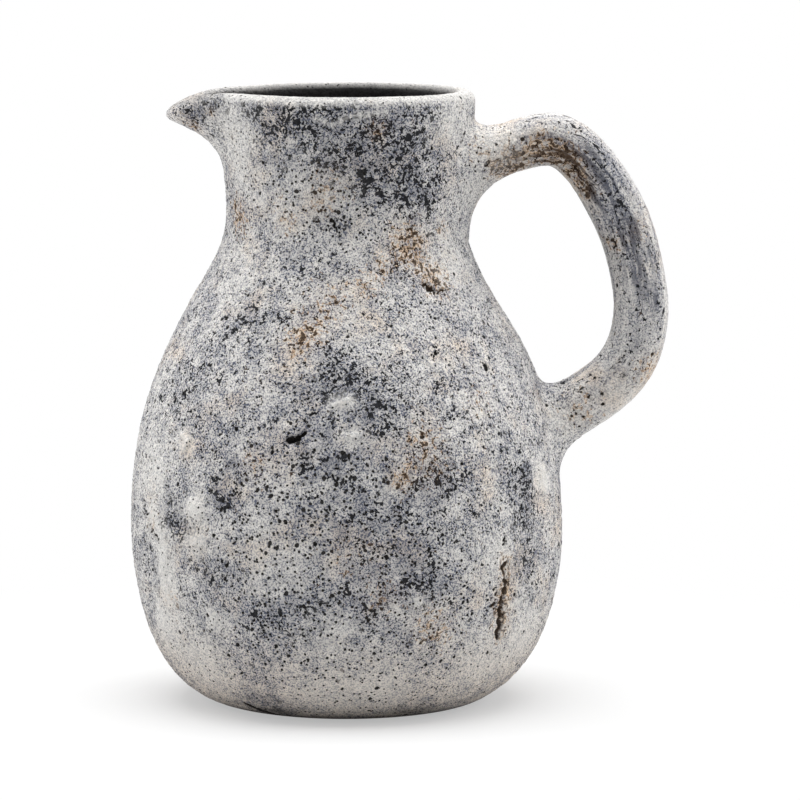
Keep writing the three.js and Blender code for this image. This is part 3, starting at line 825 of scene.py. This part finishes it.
OCHRE = (
    (505, 160, 6, 0.9), (497, 172, 5, 0.8), (515, 170, 5, 0.9), (480, 150, 5, 0.6),
    (540, 146, 5, 0.8), (562, 160, 6, 0.9), (318, 205, 6, 0.7), (278, 199, 4, 0.6),
    (285, 223, 5, 0.6), (382, 267, 5, 0.8), (402, 244, 9, 0.6), (411, 236, 7, 0.7),
    (367, 287, 6, 0.7), (412, 256, 8, 0.6), (330, 300, 10, 0.6), (299, 343, 8, 0.6),
    (310, 330, 8, 0.7), (424, 437, 8, 0.6), (402, 478, 5, 0.9), (430, 465, 10, 0.6),
    (252, 468, 8, 0.5), (426, 623, 9, 0.5), (441, 632, 9, 0.45), (383, 600, 8, 0.5),
    (377, 131, 4, 0.7), (329, 183, 9, 0.5), (237, 210, 7, 0.8), (240, 230, 5, 0.6),
    (505, 600, 6, 1.0), (506, 570, 5, 0.8), (550, 149, 9, 0.6), (526, 160, 8, 0.6),
    # The blots at (572, 167) and (584, 190) turn the painted shade in the hollows under the
    # handle's arch brown.
    (572, 167, 7, 0.9), (650, 368, 7, 1.0), (584, 190, 6, 1.0), (612, 243, 5, 0.7),
    (573, 415, 7, 0.45), (590, 405, 8, 0.4), (508, 168, 6, 0.7), (210, 113, 3, 0.8),
    (192, 126, 5, 0.8), (440, 285, 8, 0.7), (170, 598, 6, 0.5), (506, 585, 4, 1.0),
    (503, 620, 5, 1.0), (506, 560, 4, 0.9), (501, 635, 4, 0.9), (152, 520, 5, 0.8),
    (443, 230, 5, 0.7), (438, 268, 5, 0.6), (428, 276, 5, 0.6), (350, 560, 10, 0.3),
    (480, 400, 8, 0.4), (640, 230, 6, 0.5),
)
# Many blots here are partly pale wash and partly painted highlights: those on raised scabs,
# lumps and ridges, along the ridge under the rim, on the left of the neck and at the right
# edge of the belly.
CHALK_AND_HIGHLIGHT = (
    (232, 130, 12, 0.5), (240, 165, 10, 0.35), (184, 441, 4, 1.0), (195, 508, 6, 0.9),
    (150, 516, 5, 1.0), (159, 541, 6, 1.0), (165, 562, 5, 1.0), (165, 580, 5, 1.0),
    (167, 596, 6, 0.9), (195, 544, 7, 0.6), (160, 616, 7, 0.6), (212, 618, 4, 1.0),
    (541, 472, 5, 0.5), (546, 486, 5, 0.4), (511, 606, 2, 0.9), (519, 602, 2, 0.9),
    (544, 478, 6, 0.7), (418, 603, 3, 0.8), (335, 405, 3, 1.0), (347, 400, 3, 1.0),
    (354, 436, 4, 0.9), (200, 660, 18, 0.6), (480, 670, 20, 0.5), (380, 690, 16, 0.6),
    (320, 695, 16, 0.5), (500, 560, 10, 0.5), (150, 470, 12, 0.6), (525, 640, 14, 0.5),
    (455, 120, 10, 0.6), (470, 200, 9, 0.25), (495, 140, 9, 0.7), (480, 185, 10, 0.3),
    (620, 400, 10, 0.4), (560, 420, 10, 0.4), (270, 560, 12, 0.4), (330, 640, 10, 0.4),
    (452, 260, 12, 0.5), (240, 270, 12, 0.3), (165, 632, 10, 0.5), (285, 195, 14, 0.3),
    (330, 200, 10, 0.25), (316, 119, 1.1, 1.0), (324, 122, 1.1, 1.0), (332, 125, 1.1, 1.0),
    (341, 121, 1.1, 1.0), (351, 116, 1.1, 1.0), (360, 115, 1.1, 1.0), (368, 115, 1.1, 1.0),
    (378, 113, 1.1, 1.0), (387, 112, 1.1, 1.0),
)
GRIT = (
    (300, 470, 28, 1.0), (260, 520, 24, 0.9), (330, 540, 30, 0.9), (300, 590, 24, 0.7),
    (390, 560, 22, 0.6), (300, 190, 14, 0.9), (330, 205, 12, 0.7), (460, 560, 16, 0.6),
    (240, 460, 14, 0.6), (340, 680, 36, 0.4), (440, 650, 28, 0.4), (250, 650, 24, 0.5),
    (500, 330, 16, 0.5), (588, 415, 9, 1.0), (480, 148, 7, 0.5), (487, 165, 6, 0.5),
    (400, 470, 20, 0.5), (160, 480, 16, 0.4), (480, 600, 14, 0.6), (430, 300, 14, 0.4),
    (300, 310, 16, 0.3), (350, 230, 12, 0.6), (255, 205, 14, 0.8), (190, 125, 8, 0.6),
    (495, 375, 12, 0.6),
)


def blots(rows):
    """Centres, radii and strengths of a list of stains, front and back."""
    return with_back([(spot(x, y), radius * MM, strength) for x, y, radius, strength in rows])


def soak(points, rows):
    """Strength of a list of stains at each point, between 0 and 1."""
    total = np.zeros(len(points))
    for place, radius, strength in rows:
        near = ((points - np.array(place)) ** 2).sum(axis=1) / radius ** 2
        total += strength * np.exp(-near)
    return np.minimum(total, 1.0)


STAINS = {"slate": blots(SLATE_AND_SHADE), "ochre": blots(OCHRE), "chalk": blots(CHALK_AND_HIGHLIGHT),
          "grit": blots(GRIT)}
print({name: len(rows) for name, rows in STAINS.items()})

# %% [markdown]
# ## Cutting the wall into its pieces
# The weathered wall is one sheet, but the jug is made of pieces. Each piece takes the cells
# of its rows on the outside, the partner cells inside, and side walls where it meets its
# neighbours, so that it is a closed body of clay. Neighbours share the same edge points and
# the same smooth normals, so a join is as invisible as a wiped seam. The lip takes the
# cells inside a V-shaped notch of the neck and rim. Two more attributes are made from the
# rows: the dark of the mouth, partly a stain and partly painted shade, with a grey veil of
# painted shade over the crest; and the pale crest of the rim, partly rubbed by hands and
# partly a painted highlight.

# %% Read the sheet
def read(mesh, label, width=1):
    values = np.empty(len(mesh.vertices) * width)
    if label == "position":
        mesh.vertices.foreach_get("co", values)
    else:
        mesh.attributes[label].data.foreach_get("value", values)
    return values.reshape(-1, width) if width > 1 else values


all_rows = len(profile)
wall_mesh = aged["whole_wall"]
grid = read(wall_mesh, "position", 3).reshape(COLUMNS + 1, all_rows, 3)[:-1]
for pole in (0, -1):
    grid[:, pole] = grid[:, pole].mean(axis=0)
worn = {label: read(wall_mesh, label).reshape(COLUMNS + 1, all_rows)[:-1].ravel()
        for label in ("pit", "scab")}
round_way = np.roll(grid, -1, axis=0) - np.roll(grid, 1, axis=0)
normals = np.cross(round_way, np.gradient(grid, axis=1))
normals[:, 0], normals[:, -1] = (0, 0, -1), (0, 0, 1)
normals /= np.maximum(np.linalg.norm(normals, axis=2), 1e-12)[:, :, None]
numbers = np.arange(COLUMNS * all_rows).reshape(COLUMNS, all_rows)
numbers[:, 0], numbers[:, -1] = numbers[0, 0], numbers[0, -1]
print("sheet of", COLUMNS, "columns and", all_rows, "rows")

# %% Mouth and rubbed rim
MOUTH_FADE_ROWS, FAR_SHADE = 6, 0.2
CREST_ROWS, CREST_FADE, RUBBED_CHALK_AND_HIGHLIGHT = 8, 3, 0.85
RIM_SHADE, LIP_SHADE, LIP_SHARE, LIP_FADE = 0.17, 0.25, 0.3, 30.0


def lip_distance(columns):
    """Distance of columns from the middle of the lip, round the mouth."""
    turns = columns / COLUMNS * 2 * math.pi + math.pi / 2
    return np.abs(turns - math.pi) * MOUTH_RADIUS


row_index = np.arange(all_rows)
far_side = np.clip(grid[:, face_rows, 1] / (MOUTH_RADIUS * MM), 0, 1)
# The inside below the crest is painted nearly black, and sooner on the far side: partly a dark
# stain, partly painted shade.
in_mouth = np.clip((row_index - face_rows) / MOUTH_FADE_ROWS
                   + far_side[:, None] * FAR_SHADE, 0, 1)
in_mouth[:, :face_rows - EDGE_ROWS] = 0
from_crest = np.abs(row_index - face_rows + 1)
on_crest = np.clip((CREST_ROWS - from_crest) / CREST_FADE, 0, 1)
off_lip = np.clip(lip_distance(np.arange(COLUMNS)) / LIP_FADE, LIP_SHARE, 1)
# The crest is painted pale: partly rubbed wash, partly a painted highlight along the crest.
rim_rub_and_highlight = RUBBED_CHALK_AND_HIGHLIGHT * np.outer(off_lip, on_crest).ravel()
# A grey veil of painted shade dims the crest, most at the lip, where the top light is
# strongest.
crest_shade = np.outer(RIM_SHADE + LIP_SHADE * (1 - off_lip), on_crest)
in_mouth = np.maximum(in_mouth, crest_shade).ravel()
grid, normals = grid.reshape(-1, 3), normals.reshape(-1, 3)
print("rubbed points on the rim:", int((rim_rub_and_highlight > 0).sum()))

# %% Piece cutter
def clay_piece(name, node, mesh, material, attributes):
    """Finishes a mesh as one piece of the jug."""
    mesh.materials.clear()
    mesh.materials.append(material)
    for label, values in attributes.items():
        layer = mesh.attributes.new(label, "FLOAT", "POINT")
        layer.data.foreach_set("value", np.asarray(values, dtype=np.float32))
    piece = linked_object(name, mesh)
    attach(piece, "root")
    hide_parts(node)
    print(name, "has", sum(len(face.vertices) - 2 for face in mesh.polygons), "triangles")


def cell_faces(mask, corners):
    """Quads of the cells of a mask; a corner is right or left, up or down, in or out."""
    cell_rows, cell_columns = np.nonzero(mask)
    beside = np.roll(numbers, -1, axis=0)
    return np.column_stack([
        (beside if right else numbers)[
            cell_columns, all_rows - 1 - cell_rows - up if far else cell_rows + up]
        for right, up, far in corners])


def cut_wall(node, cells):
    """Makes a closed piece of the wall from a mask of cells (rows by columns)."""
    closed = np.pad(cells, ((1, 1), (0, 0)))
    foot_open, top_open = cells & ~closed[:-2], cells & ~closed[2:]
    foot_open[0], top_open[-1] = False, False
    left_open = cells & ~np.roll(cells, 1, axis=1)
    right_open = cells & ~np.roll(cells, -1, axis=1)
    quads = np.vstack([cell_faces(mask, corners) for mask, corners in (
        (cells, ((0, 0, 0), (1, 0, 0), (1, 1, 0), (0, 1, 0))),
        (cells, ((0, 1, 1), (1, 1, 1), (1, 0, 1), (0, 0, 1))),
        (foot_open, ((1, 0, 0), (0, 0, 0), (0, 0, 1), (1, 0, 1))),
        (top_open, ((0, 1, 0), (1, 1, 0), (1, 1, 1), (0, 1, 1))),
        (left_open, ((0, 0, 0), (0, 1, 0), (0, 1, 1), (0, 0, 1))),
        (right_open, ((1, 1, 0), (1, 0, 0), (1, 0, 1), (1, 1, 1))))])
    triangles = np.vstack([quads[:, [0, 1, 2]], quads[:, [0, 2, 3]]])
    flat = (triangles == np.roll(triangles, 1, axis=1)).any(axis=1)
    used, triangles = np.unique(triangles[~flat], return_inverse=True)
    mesh = bpy.data.meshes.new("clay_" + node)
    mesh.from_pydata(grid[used].tolist(), [], triangles.reshape(-1, 3).tolist())
    mesh.shade_smooth()
    mesh.normals_split_custom_set_from_vertices(normals[used].tolist())
    attributes = {"pit": worn["pit"][used], "scab": worn["scab"][used],
                  "mouth": in_mouth[used]}
    attributes.update({label: soak(grid[used], rows) for label, rows in STAINS.items()})
    # The crest's pale, partly a painted highlight, joins the chalk.
    attributes["chalk"] = np.maximum(attributes["chalk"], rim_rub_and_highlight[used])
    clay_piece("clay_" + node, node, mesh, skin, attributes)


print("cutter ready")

# %% Cut the pieces
NOTCH_HALF_WIDTH, NOTCH_APEX = 32.0, 216.5
cell_count = face_rows - 1
row_numbers = np.arange(cell_count)
cell_heights = (outside[:-1, 1] + outside[1:, 1]) / 2
cell_sideways = lip_distance(np.arange(COLUMNS) + 0.5)
notch = NOTCH_HALF_WIDTH * (cell_heights - NOTCH_APEX) / (RIM_HEIGHT - NOTCH_APEX)
in_lip = cell_sideways[None, :] < notch[:, None]
piece_rows = [0] + seam_rows[:-1] + [cell_count]
PIECES = ("base_slab", "lower_belly_band", "middle_belly_band", "upper_belly_band",
          "shoulder_band", "neck_collar", "rim_coil")
for node, low, high in zip(PIECES, piece_rows[:-1], piece_rows[1:]):
    cut_wall(node, ((row_numbers >= low) & (row_numbers < high))[:, None] & ~in_lip)
cut_wall("pouring_lip", in_lip)

# %% Finish the handle and its lutings
for shell_name, node, material in (
        ("handle_strap", "handle", handle_skin),
        ("upper_root_clay", "upper_handle_luting", skin),
        ("lower_root_clay", "lower_handle_luting", skin)):
    mesh = aged[shell_name]
    mesh.shade_smooth()
    points = read(mesh, "position", 3)
    attributes = {label: soak(points, rows) for label, rows in STAINS.items()}
    clay_piece("clay_" + node, node, mesh, material,
               attributes | {"mouth": np.zeros(len(points))})
for helper in (wall, handle, upper_luting, lower_luting, outline_object, line_object,
               marks_object):
    bpy.data.objects.remove(helper)

# %% [markdown]
# ## The limewashed skin
# Close up the skin is a pale warm wash with slate-grey mottling, peppered with dark flecks
# that crowd together in damp places, round black pores and ochre bleeds. Pores and pits are
# painted dark, partly for the dark slip they bare and partly as painted shade inside them.
# Pale blots are partly painted highlights, and some grey smears are partly painted shade.
# The heel is rubbed pale, and painted shade darkens the edge of the foot. Flecks, pores and
# mottling are node groups with their own sizes and amounts. The body and the handle use the
# same groups with different values: on the handle the pattern is drawn out along its
# length, as the wash was wiped that way.

# %% Groups: flecks, pores and mottling
def mask_group(name, *amounts):
    """A shader group with a place and some amounts going in, and a mask coming out."""
    return new_tree(name, "ShaderNodeTree", {"Vector": ["Vector"], "Float": amounts},
                    "Mask", "Float")


FLECK_EDGES, FLECK_SOFTNESS = (0.70, 0.46), 0.02
flecks, given, result = mask_group("flecks", "Scale", "Cover")
grain = noise(given["Vector"], given["Scale"], 1.5, 0.55, 0.7)
edge = join("ShaderNodeMapRange", given["Cover"], 0.0, 1.0, *FLECK_EDGES)
flecks.links.new(ramp(grain, edge, plus(edge, FLECK_SOFTNESS)), result)

PORE_WOBBLE, WOBBLE_SCALE, PORE_EDGE = 0.28, 1.5, 0.82
pores, given, result = mask_group("pores", "Scale", "Radius")
wobble = noise(given["Vector"], times(given["Scale"], WOBBLE_SCALE), 1.0).node
wobble = vector_maths("SUBTRACT", wobble.outputs["Color"], (0.5, 0.5, 0.5))
nudge = vector_maths("SCALE", wobble, over(PORE_WOBBLE, given["Scale"]))
cell = join("ShaderNodeTexVoronoi", vector_maths("ADD", given["Vector"], nudge),
            given["Scale"])
pores.links.new(ramp(cell, times(given["Radius"], PORE_EDGE), given["Radius"], 1.0, 0.0),
                result)

BROAD_SCALE, CLOSE_SCALE, CLOSE_SHARE = 30.0, 130.0, 0.78
# The grey blots grey the tone: mostly stains, partly painted shade under the handle's arch and
# on the middle of the belly.
DAMP_AND_SHADE_GREY, CHALK_AND_HIGHLIGHT_PALE, TONE_EDGES = 0.09, -0.2, (0.36, 0.74)
mottling, given, result = mask_group("mottling", "Slate And Shade", "Chalk And Highlight")
broad = noise(given["Vector"], BROAD_SCALE, 4.0, 0.6)
close = noise(given["Vector"], CLOSE_SCALE, 4.0, 0.65)
greyed = scaled(given["Slate And Shade"], DAMP_AND_SHADE_GREY, join("ShaderNodeMix", CLOSE_SHARE, broad, close))
# Chalk pales the tone, and its blots are partly painted highlights.
paled = scaled(given["Chalk And Highlight"], CHALK_AND_HIGHLIGHT_PALE, greyed)
mottling.links.new(ramp(paled, *TONE_EDGES), result)
print("groups:", flecks.name, pores.name, mottling.name)


# %% Colours and scales of the skin
def srgb(code):
    """A colour code as linear red, green, blue and alpha."""
    parts = [int(code[i:i + 2], 16) / 255 for i in (0, 2, 4)]
    return tuple(p / 12.92 if p < 0.04045 else ((p + 0.055) / 1.055) ** 2.4
                 for p in parts) + (1.0,)


PALE_WASH, WARM_WASH, SLATE_GRAIN = srgb("e6e3df"), srgb("e8d4be"), srgb("5e6373")
# PORE_BLACK on the next line paints pores and pits, partly as painted shade inside them.
OCHRE_BLEED, RUST, PORE_BLACK = srgb("d2a055"), srgb("2b1d13"), srgb("120f0c")
# The smear colours on the next line are partly painted shade, under the handle's arch and on
# the middle of the belly.
DARK_FLECK, SLATE_AND_SHADE_SMEAR, BROWN_SMEAR_AND_SHADE = srgb("18191d"), srgb("5f626d"), srgb("4a3a2e")
# CHALK_AND_HIGHLIGHT_WHITE on the next line paints chalk and also painted highlights.
# MOUTH_GREY on the next line paints the dark mouth, partly as painted shade.
# The last colour on the next line is painted shade for the foot's edge.
CHALK_AND_HIGHLIGHT_WHITE, MOUTH_GREY, FOOT_SHADE = srgb("e6e4e0"), srgb("0c0b0c"), srgb("26231f")
# Patterns to the metre: the higher the number, the finer the pattern.
WARM_SCALE, SALT_SCALE, BLEED_SCALE, PATCH_SCALE = 42.0, 1350.0, 480.0, 200.0
CLUSTER_SCALE, WORM_SCALE, FINE_SCALE = 150.0, 460.0, 760.0
SMALL_PORES, LARGE_PORES, CRUST_SCALE, GRAIN_SCALE = 430.0, 190.0, 330.0, 800.0
print("palest and darkest:", PALE_WASH[:3], MOUTH_GREY[:3])

# %% The wash
# A ramp has its start and end, then the values there unless these are 0 and 1.
WARM_EDGES, WARMTH, RUBBED_HEEL = (0.48, 0.72), 0.6, (0.012, 0.05, 0.8, 0.0)
SALT_EDGES, SALT_ON_PALE, SALT_ON_GREY, HAZE = (0.49, 0.57), 0.6, 0.25, 0.52


def mixed(share, first, second):
    return join("ShaderNodeMix", share, first, second, data_type="RGBA")


def grouped(group, *values):
    return join("ShaderNodeGroup", *values, node_tree=group)


def read_skin(tree, flow, stretch, streak):
    """The wires that the layers share: stains, places and the mottled tone."""
    def kept(label):
        return add(tree, "ShaderNodeAttribute", attribute_name=label).node.outputs

    on = SimpleNamespace(**{label: kept(label)["Fac"] for label in (
        "slate", "ochre", "chalk", "grit", "pit", "scab", "mouth")})
    on.place = add(tree, "ShaderNodeTexCoord").node.outputs["Object"]
    way = kept(flow)["Vector"] if flow else on.place
    on.wiped, on.washed = (vector_maths("MULTIPLY", way, drawn) for drawn in (stretch, streak))
    on.tone = grouped(mottling, on.washed, on.slate, on.chalk)
    on.salt = ramp(noise(on.place, SALT_SCALE, 2.0, 0.6), *SALT_EDGES)
    on.height = join("ShaderNodeSeparateXYZ", on.place).node.outputs["Z"]
    on.rubbed = ramp(on.height, *RUBBED_HEEL)
    return on


def limewash(on, grain):
    """Pale wash, warm in places and on the rubbed heel, hazed with slate-grey grain."""
    warmth = ramp(noise(on.place, WARM_SCALE, 4.0, 0.65), *WARM_EDGES)
    colour = mixed(times(most(warmth, on.rubbed), WARMTH), PALE_WASH, WARM_WASH)
    salted = times(times(on.salt, grain), scaled(on.tone, SALT_ON_GREY, SALT_ON_PALE))
    return mixed(scaled(on.tone, HAZE, salted), colour, SLATE_GRAIN)


print("wash ready")

# %% Stains and flecks
HALO, TINT, VEIN_START, VEIN_STRENGTH, PATCH_EDGES = 0.36, 0.1, 0.3, 0.9, (0.4, 0.6)
SLATE_AND_SHADE_CROWDS, CHALK_AND_HIGHLIGHT_CLEARS, GRIT_CLEARS, CLUSTER_EDGES = 0.14, -0.15, -0.07, (0.54, 0.62)
WORMS_ON_GREY, FINE_ON_GREY, FINE_IN_CLUSTER, FINE_ON_GRIT = 0.15, 0.25, 0.2, -0.2
FLECK_STRENGTH, CHALK_AND_HIGHLIGHT_HIDES, HEEL_HIDES = 0.97, -0.77, -0.6


def stained(on, colour, smears_and_shade):
    """Ochre bleeds with rusty veins, then grey smears, partly painted shade under the handle's
    arch and on the middle of the belly.
    """
    halo = grouped(flecks, on.place, BLEED_SCALE, on.ochre)
    colour = mixed(scaled(halo, HALO, times(on.ochre, TINT)), colour, OCHRE_BLEED)
    veins = grouped(flecks, on.place, BLEED_SCALE, minus(on.ochre, VEIN_START))
    colour = mixed(times(veins, VEIN_STRENGTH), colour, RUST)
    # The smears follow the grey blots, so in places they are painted shade.
    patchy = times(on.slate, ramp(noise(on.washed, PATCH_SCALE, 4.0, 0.65), *PATCH_EDGES))
    smear_and_shade = mixed(on.ochre, SLATE_AND_SHADE_SMEAR, BROWN_SMEAR_AND_SHADE)
    return mixed(times(patchy, smears_and_shade), colour, smear_and_shade)


def flecked(on, colour, worms, speckle):
    """Dark flecks, crowded in ragged clusters and rare on chalk, on painted highlights and on
    the heel.
    """
    ragged_edge = scaled(on.slate, SLATE_AND_SHADE_CROWDS, noise(on.washed, CLUSTER_SCALE, 5.0, 0.7))
    ragged_edge = scaled(on.grit, GRIT_CLEARS, scaled(on.chalk, CHALK_AND_HIGHLIGHT_CLEARS, ragged_edge))
    cluster = ramp(ragged_edge, *CLUSTER_EDGES)
    worm = grouped(flecks, on.wiped, WORM_SCALE,
                   scaled(cluster, worms, times(on.tone, WORMS_ON_GREY)))
    bare = scaled(on.tone, FINE_ON_GREY, scaled(on.grit, FINE_ON_GRIT, speckle))
    on.fine = grouped(flecks, on.place, FINE_SCALE, scaled(cluster, FINE_IN_CLUSTER, bare))
    dust = mixed(on.ochre, DARK_FLECK, RUST)
    clean = times(scaled(on.chalk, CHALK_AND_HIGHLIGHT_HIDES, FLECK_STRENGTH),
                  scaled(on.rubbed, HEEL_HIDES, 1.0))
    for fleck in (worm, on.fine):
        colour = mixed(times(fleck, clean), colour, dust)
    return colour


print("stains and flecks ready")

# %% Chalk and highlights, pores, and painted shade at the foot
SCAB_WHITE_AND_HIGHLIGHT, CHALK_AND_HIGHLIGHT_STRENGTH, SALT_IN_CHALK_AND_HIGHLIGHT = 0.5, 0.72, -0.3
# Each row: scale, growth of the radius with grit, radius without grit.
PORES = ((SMALL_PORES, 0.1, 0.19), (LARGE_PORES, 0.15, 0.05))
PIT_EDGES, PORE_STRENGTH, BROWN_PORES = (0.72, 0.92, 1.0, 0.0), 0.95, 0.8
# Heights of the painted shade at the foot's edge: on chips, and all round.
CHIP_SHADE_EDGE, FOOT_SHADE_EDGE = (0.003, 0.008, 1.2, 0.0), (0.001, 0.0045, 0.75, 0.0)
MOUTH_DARKNESS = 0.985


def pored(on, colour, pore_size):
    """Pale chalk and scabs, partly painted highlights; dark pores, pits and mouth, partly
    painted shade; painted shade at the foot's edge.
    """
    # Chalk and scabs are painted white: partly pale wash, partly painted highlights on raised
    # lumps and ridges.
    white = times(on.chalk, scaled(on.salt, SALT_IN_CHALK_AND_HIGHLIGHT, CHALK_AND_HIGHLIGHT_STRENGTH))
    colour = mixed(most(times(on.scab, SCAB_WHITE_AND_HIGHLIGHT), white), colour, CHALK_AND_HIGHLIGHT_WHITE)
    on.dots = most(*(
        grouped(pores, on.place, scale, times(scaled(on.grit, growth, radius), pore_size))
        for scale, growth, radius in PORES))
    # Pores and pits are painted nearly black: partly the dark slip they bare, partly painted
    # shade inside the hollows.
    dark = most(on.dots, ramp(on.pit, *PIT_EDGES))
    depths = mixed(times(on.ochre, BROWN_PORES), PORE_BLACK, BROWN_SMEAR_AND_SHADE)
    colour = mixed(times(dark, PORE_STRENGTH), colour, depths)
    # Painted shade along the foot's edge where it meets the floor, darker on the chips there.
    chip_shade = times(on.slate, ramp(on.height, *CHIP_SHADE_EDGE))
    colour = mixed(most(chip_shade, ramp(on.height, *FOOT_SHADE_EDGE)), colour, FOOT_SHADE)
    # The mouth's dark is partly a dark stain and partly painted shade.
    return mixed(times(on.mouth, MOUTH_DARKNESS), colour, MOUTH_GREY)


print("pores ready")

# %% Material of the skin
CRUST_RELIEF, FLECK_RELIEF, PORE_RELIEF, BUMP_STRENGTH = 2.8, -0.4, -1.5, 0.65
ROUGHNESS, SHINE = 0.92, 0.2


def paint_skin(material, flow, stretch, streak, smears_and_shade, worms, speckle, pore_size, grain):
    """Wires the limewashed skin.

    Patterns lie in space, or along the attribute that flow names, where stretch draws out
    the flecks and streak the wash. The rest is how strong the grey smearing (partly painted
    shade), the worm-like flecks, the fine speckle, the pores and the salt grain are.
    """
    material.use_nodes = True
    tree = material.node_tree
    shader = tree.nodes["Principled BSDF"]
    on = read_skin(tree, flow, stretch, streak)
    colour = stained(on, limewash(on, grain), smears_and_shade)
    colour = pored(on, flecked(on, colour, worms, speckle), pore_size)
    tree.links.new(colour, shader.inputs["Base Color"])
    relief = scaled(noise(on.place, CRUST_SCALE, 4.0, 0.6), CRUST_RELIEF,
                    noise(on.place, GRAIN_SCALE, 3.0, 0.6))
    relief = scaled(on.dots, PORE_RELIEF, scaled(on.fine, FLECK_RELIEF, relief))
    bump = join("ShaderNodeBump", BUMP_STRENGTH, MM, None, relief)
    tree.links.new(bump, shader.inputs["Normal"])
    shader.inputs["Roughness"].default_value = ROUGHNESS
    shader.inputs["Specular IOR Level"].default_value = SHINE
    print(material.name, "has", len(tree.nodes), "nodes")


paint_skin(skin, flow=None, stretch=(1.0, 1.0, 1.0), streak=(1.0, 1.0, 1.0), smears_and_shade=0.35,
           worms=0.62, speckle=0.22, pore_size=1.0, grain=1.0)
paint_skin(handle_skin, flow="flow", stretch=(1.0, 1.0, 0.3), streak=(2.0, 2.0, 0.2),
           smears_and_shade=0.95, worms=0.15, speckle=0.12, pore_size=0.6, grain=0.75)

# %% [markdown]
# ## Floor and light
# The jug stands in a light tent: white all round, with soft light from above and from both
# sides, so its edges are paler than its middle and it throws only a soft contact shadow.
# The floor is a white plane. Far from the jug it turns into plain white, which hides the
# line where a real floor would end. Near the jug it keeps the shadow, softened by a share of
# the white glow, which is painted light.

# %% Floor
# Near the jug the glow already has a share of 0.43, painted light that softens the shadow; far
# away it is all glow.
FLOOR_HALF, FLOOR_FADE = 8.0, (0.05, 0.32, 0.43, 1.0)
WHITE, FLOOR_SEEN, FLOOR_BOUNCE = (1, 1, 1, 1), (0.76, 0.76, 0.76, 1), (0.68, 0.68, 0.68, 1)


def seen_rays(tree):
    """A wire that is 1 for what the camera, gloss and glass see, and the camera's alone."""
    rays = add(tree, "ShaderNodeLightPath").node.outputs
    others = most(rays["Is Glossy Ray"], rays["Is Transmission Ray"])
    return most(rays["Is Camera Ray"], others), rays["Is Camera Ray"]


floor_mesh = bpy.data.meshes.new("white_table")
floor_mesh.from_pydata([(x * FLOOR_HALF, y * FLOOR_HALF, 0) for x, y in
                        ((-1, -1), (1, -1), (1, 1), (-1, 1))], [], [(0, 1, 2, 3)])
floor = linked_object("white_table", floor_mesh)
table_white = bpy.data.materials.new("white_table")
table_white.use_nodes = True
tree = table_white.node_tree
cloth = tree.nodes["Principled BSDF"]
cloth.inputs["Roughness"].default_value = 0.9
cloth.inputs["Specular IOR Level"].default_value = 0.0
glow = add(tree, "ShaderNodeEmission", WHITE, 1.0)
distance = vector_maths("LENGTH", add(tree, "ShaderNodeTexCoord").node.outputs["Object"])
seen, by_camera = seen_rays(tree)
tree.links.new(mixed(by_camera, FLOOR_BOUNCE, FLOOR_SEEN), cloth.inputs["Base Color"])
# The glow mixed in near the jug is painted light in the jug's shadow.
glow_share = times(ramp(distance, *FLOOR_FADE), seen)
blend = join("ShaderNodeMixShader", glow_share, cloth.outputs[0], glow)
tree.links.new(blend, tree.nodes["Material Output"].inputs["Surface"])
floor_mesh.materials.append(table_white)
print("floor is", 2 * FLOOR_HALF, "m wide")

# %% Light
TENT_LEVEL, LIT_PLACE = 0.212, Vector((0, 0, 0.13))
world = bpy.data.worlds.new("light_tent")
bpy.context.scene.world = world
world.use_nodes = True
tree = world.node_tree
tent = tree.nodes["Background"]
tent.inputs["Color"].default_value = WHITE
seen, _ = seen_rays(tree)
tree.links.new(join("ShaderNodeMix", seen, TENT_LEVEL, 1.0), tent.inputs["Strength"])

# Each row: name, place, size in metres, power in watts.
PANELS = (("top_panel", (0.0, 0.0, 1.7), 2.0, 50.5),
          ("left_panel", (-1.3, 0.2, 0.45), 1.2, 9.7),
          ("right_panel", (1.3, 0.2, 0.45), 1.2, 10.7))
for name, panel_place, size, watts in PANELS:
    lamp = bpy.data.lights.new(name, "AREA")
    lamp.shape, lamp.size, lamp.energy = "SQUARE", size, watts
    panel = linked_object(name, lamp)
    panel.location = panel_place
    aim = LIT_PLACE - Vector(panel_place)
    panel.rotation_euler = aim.to_track_quat("-Z", "Y").to_euler()
print(len(PANELS), "soft panels and a tent at", TENT_LEVEL)
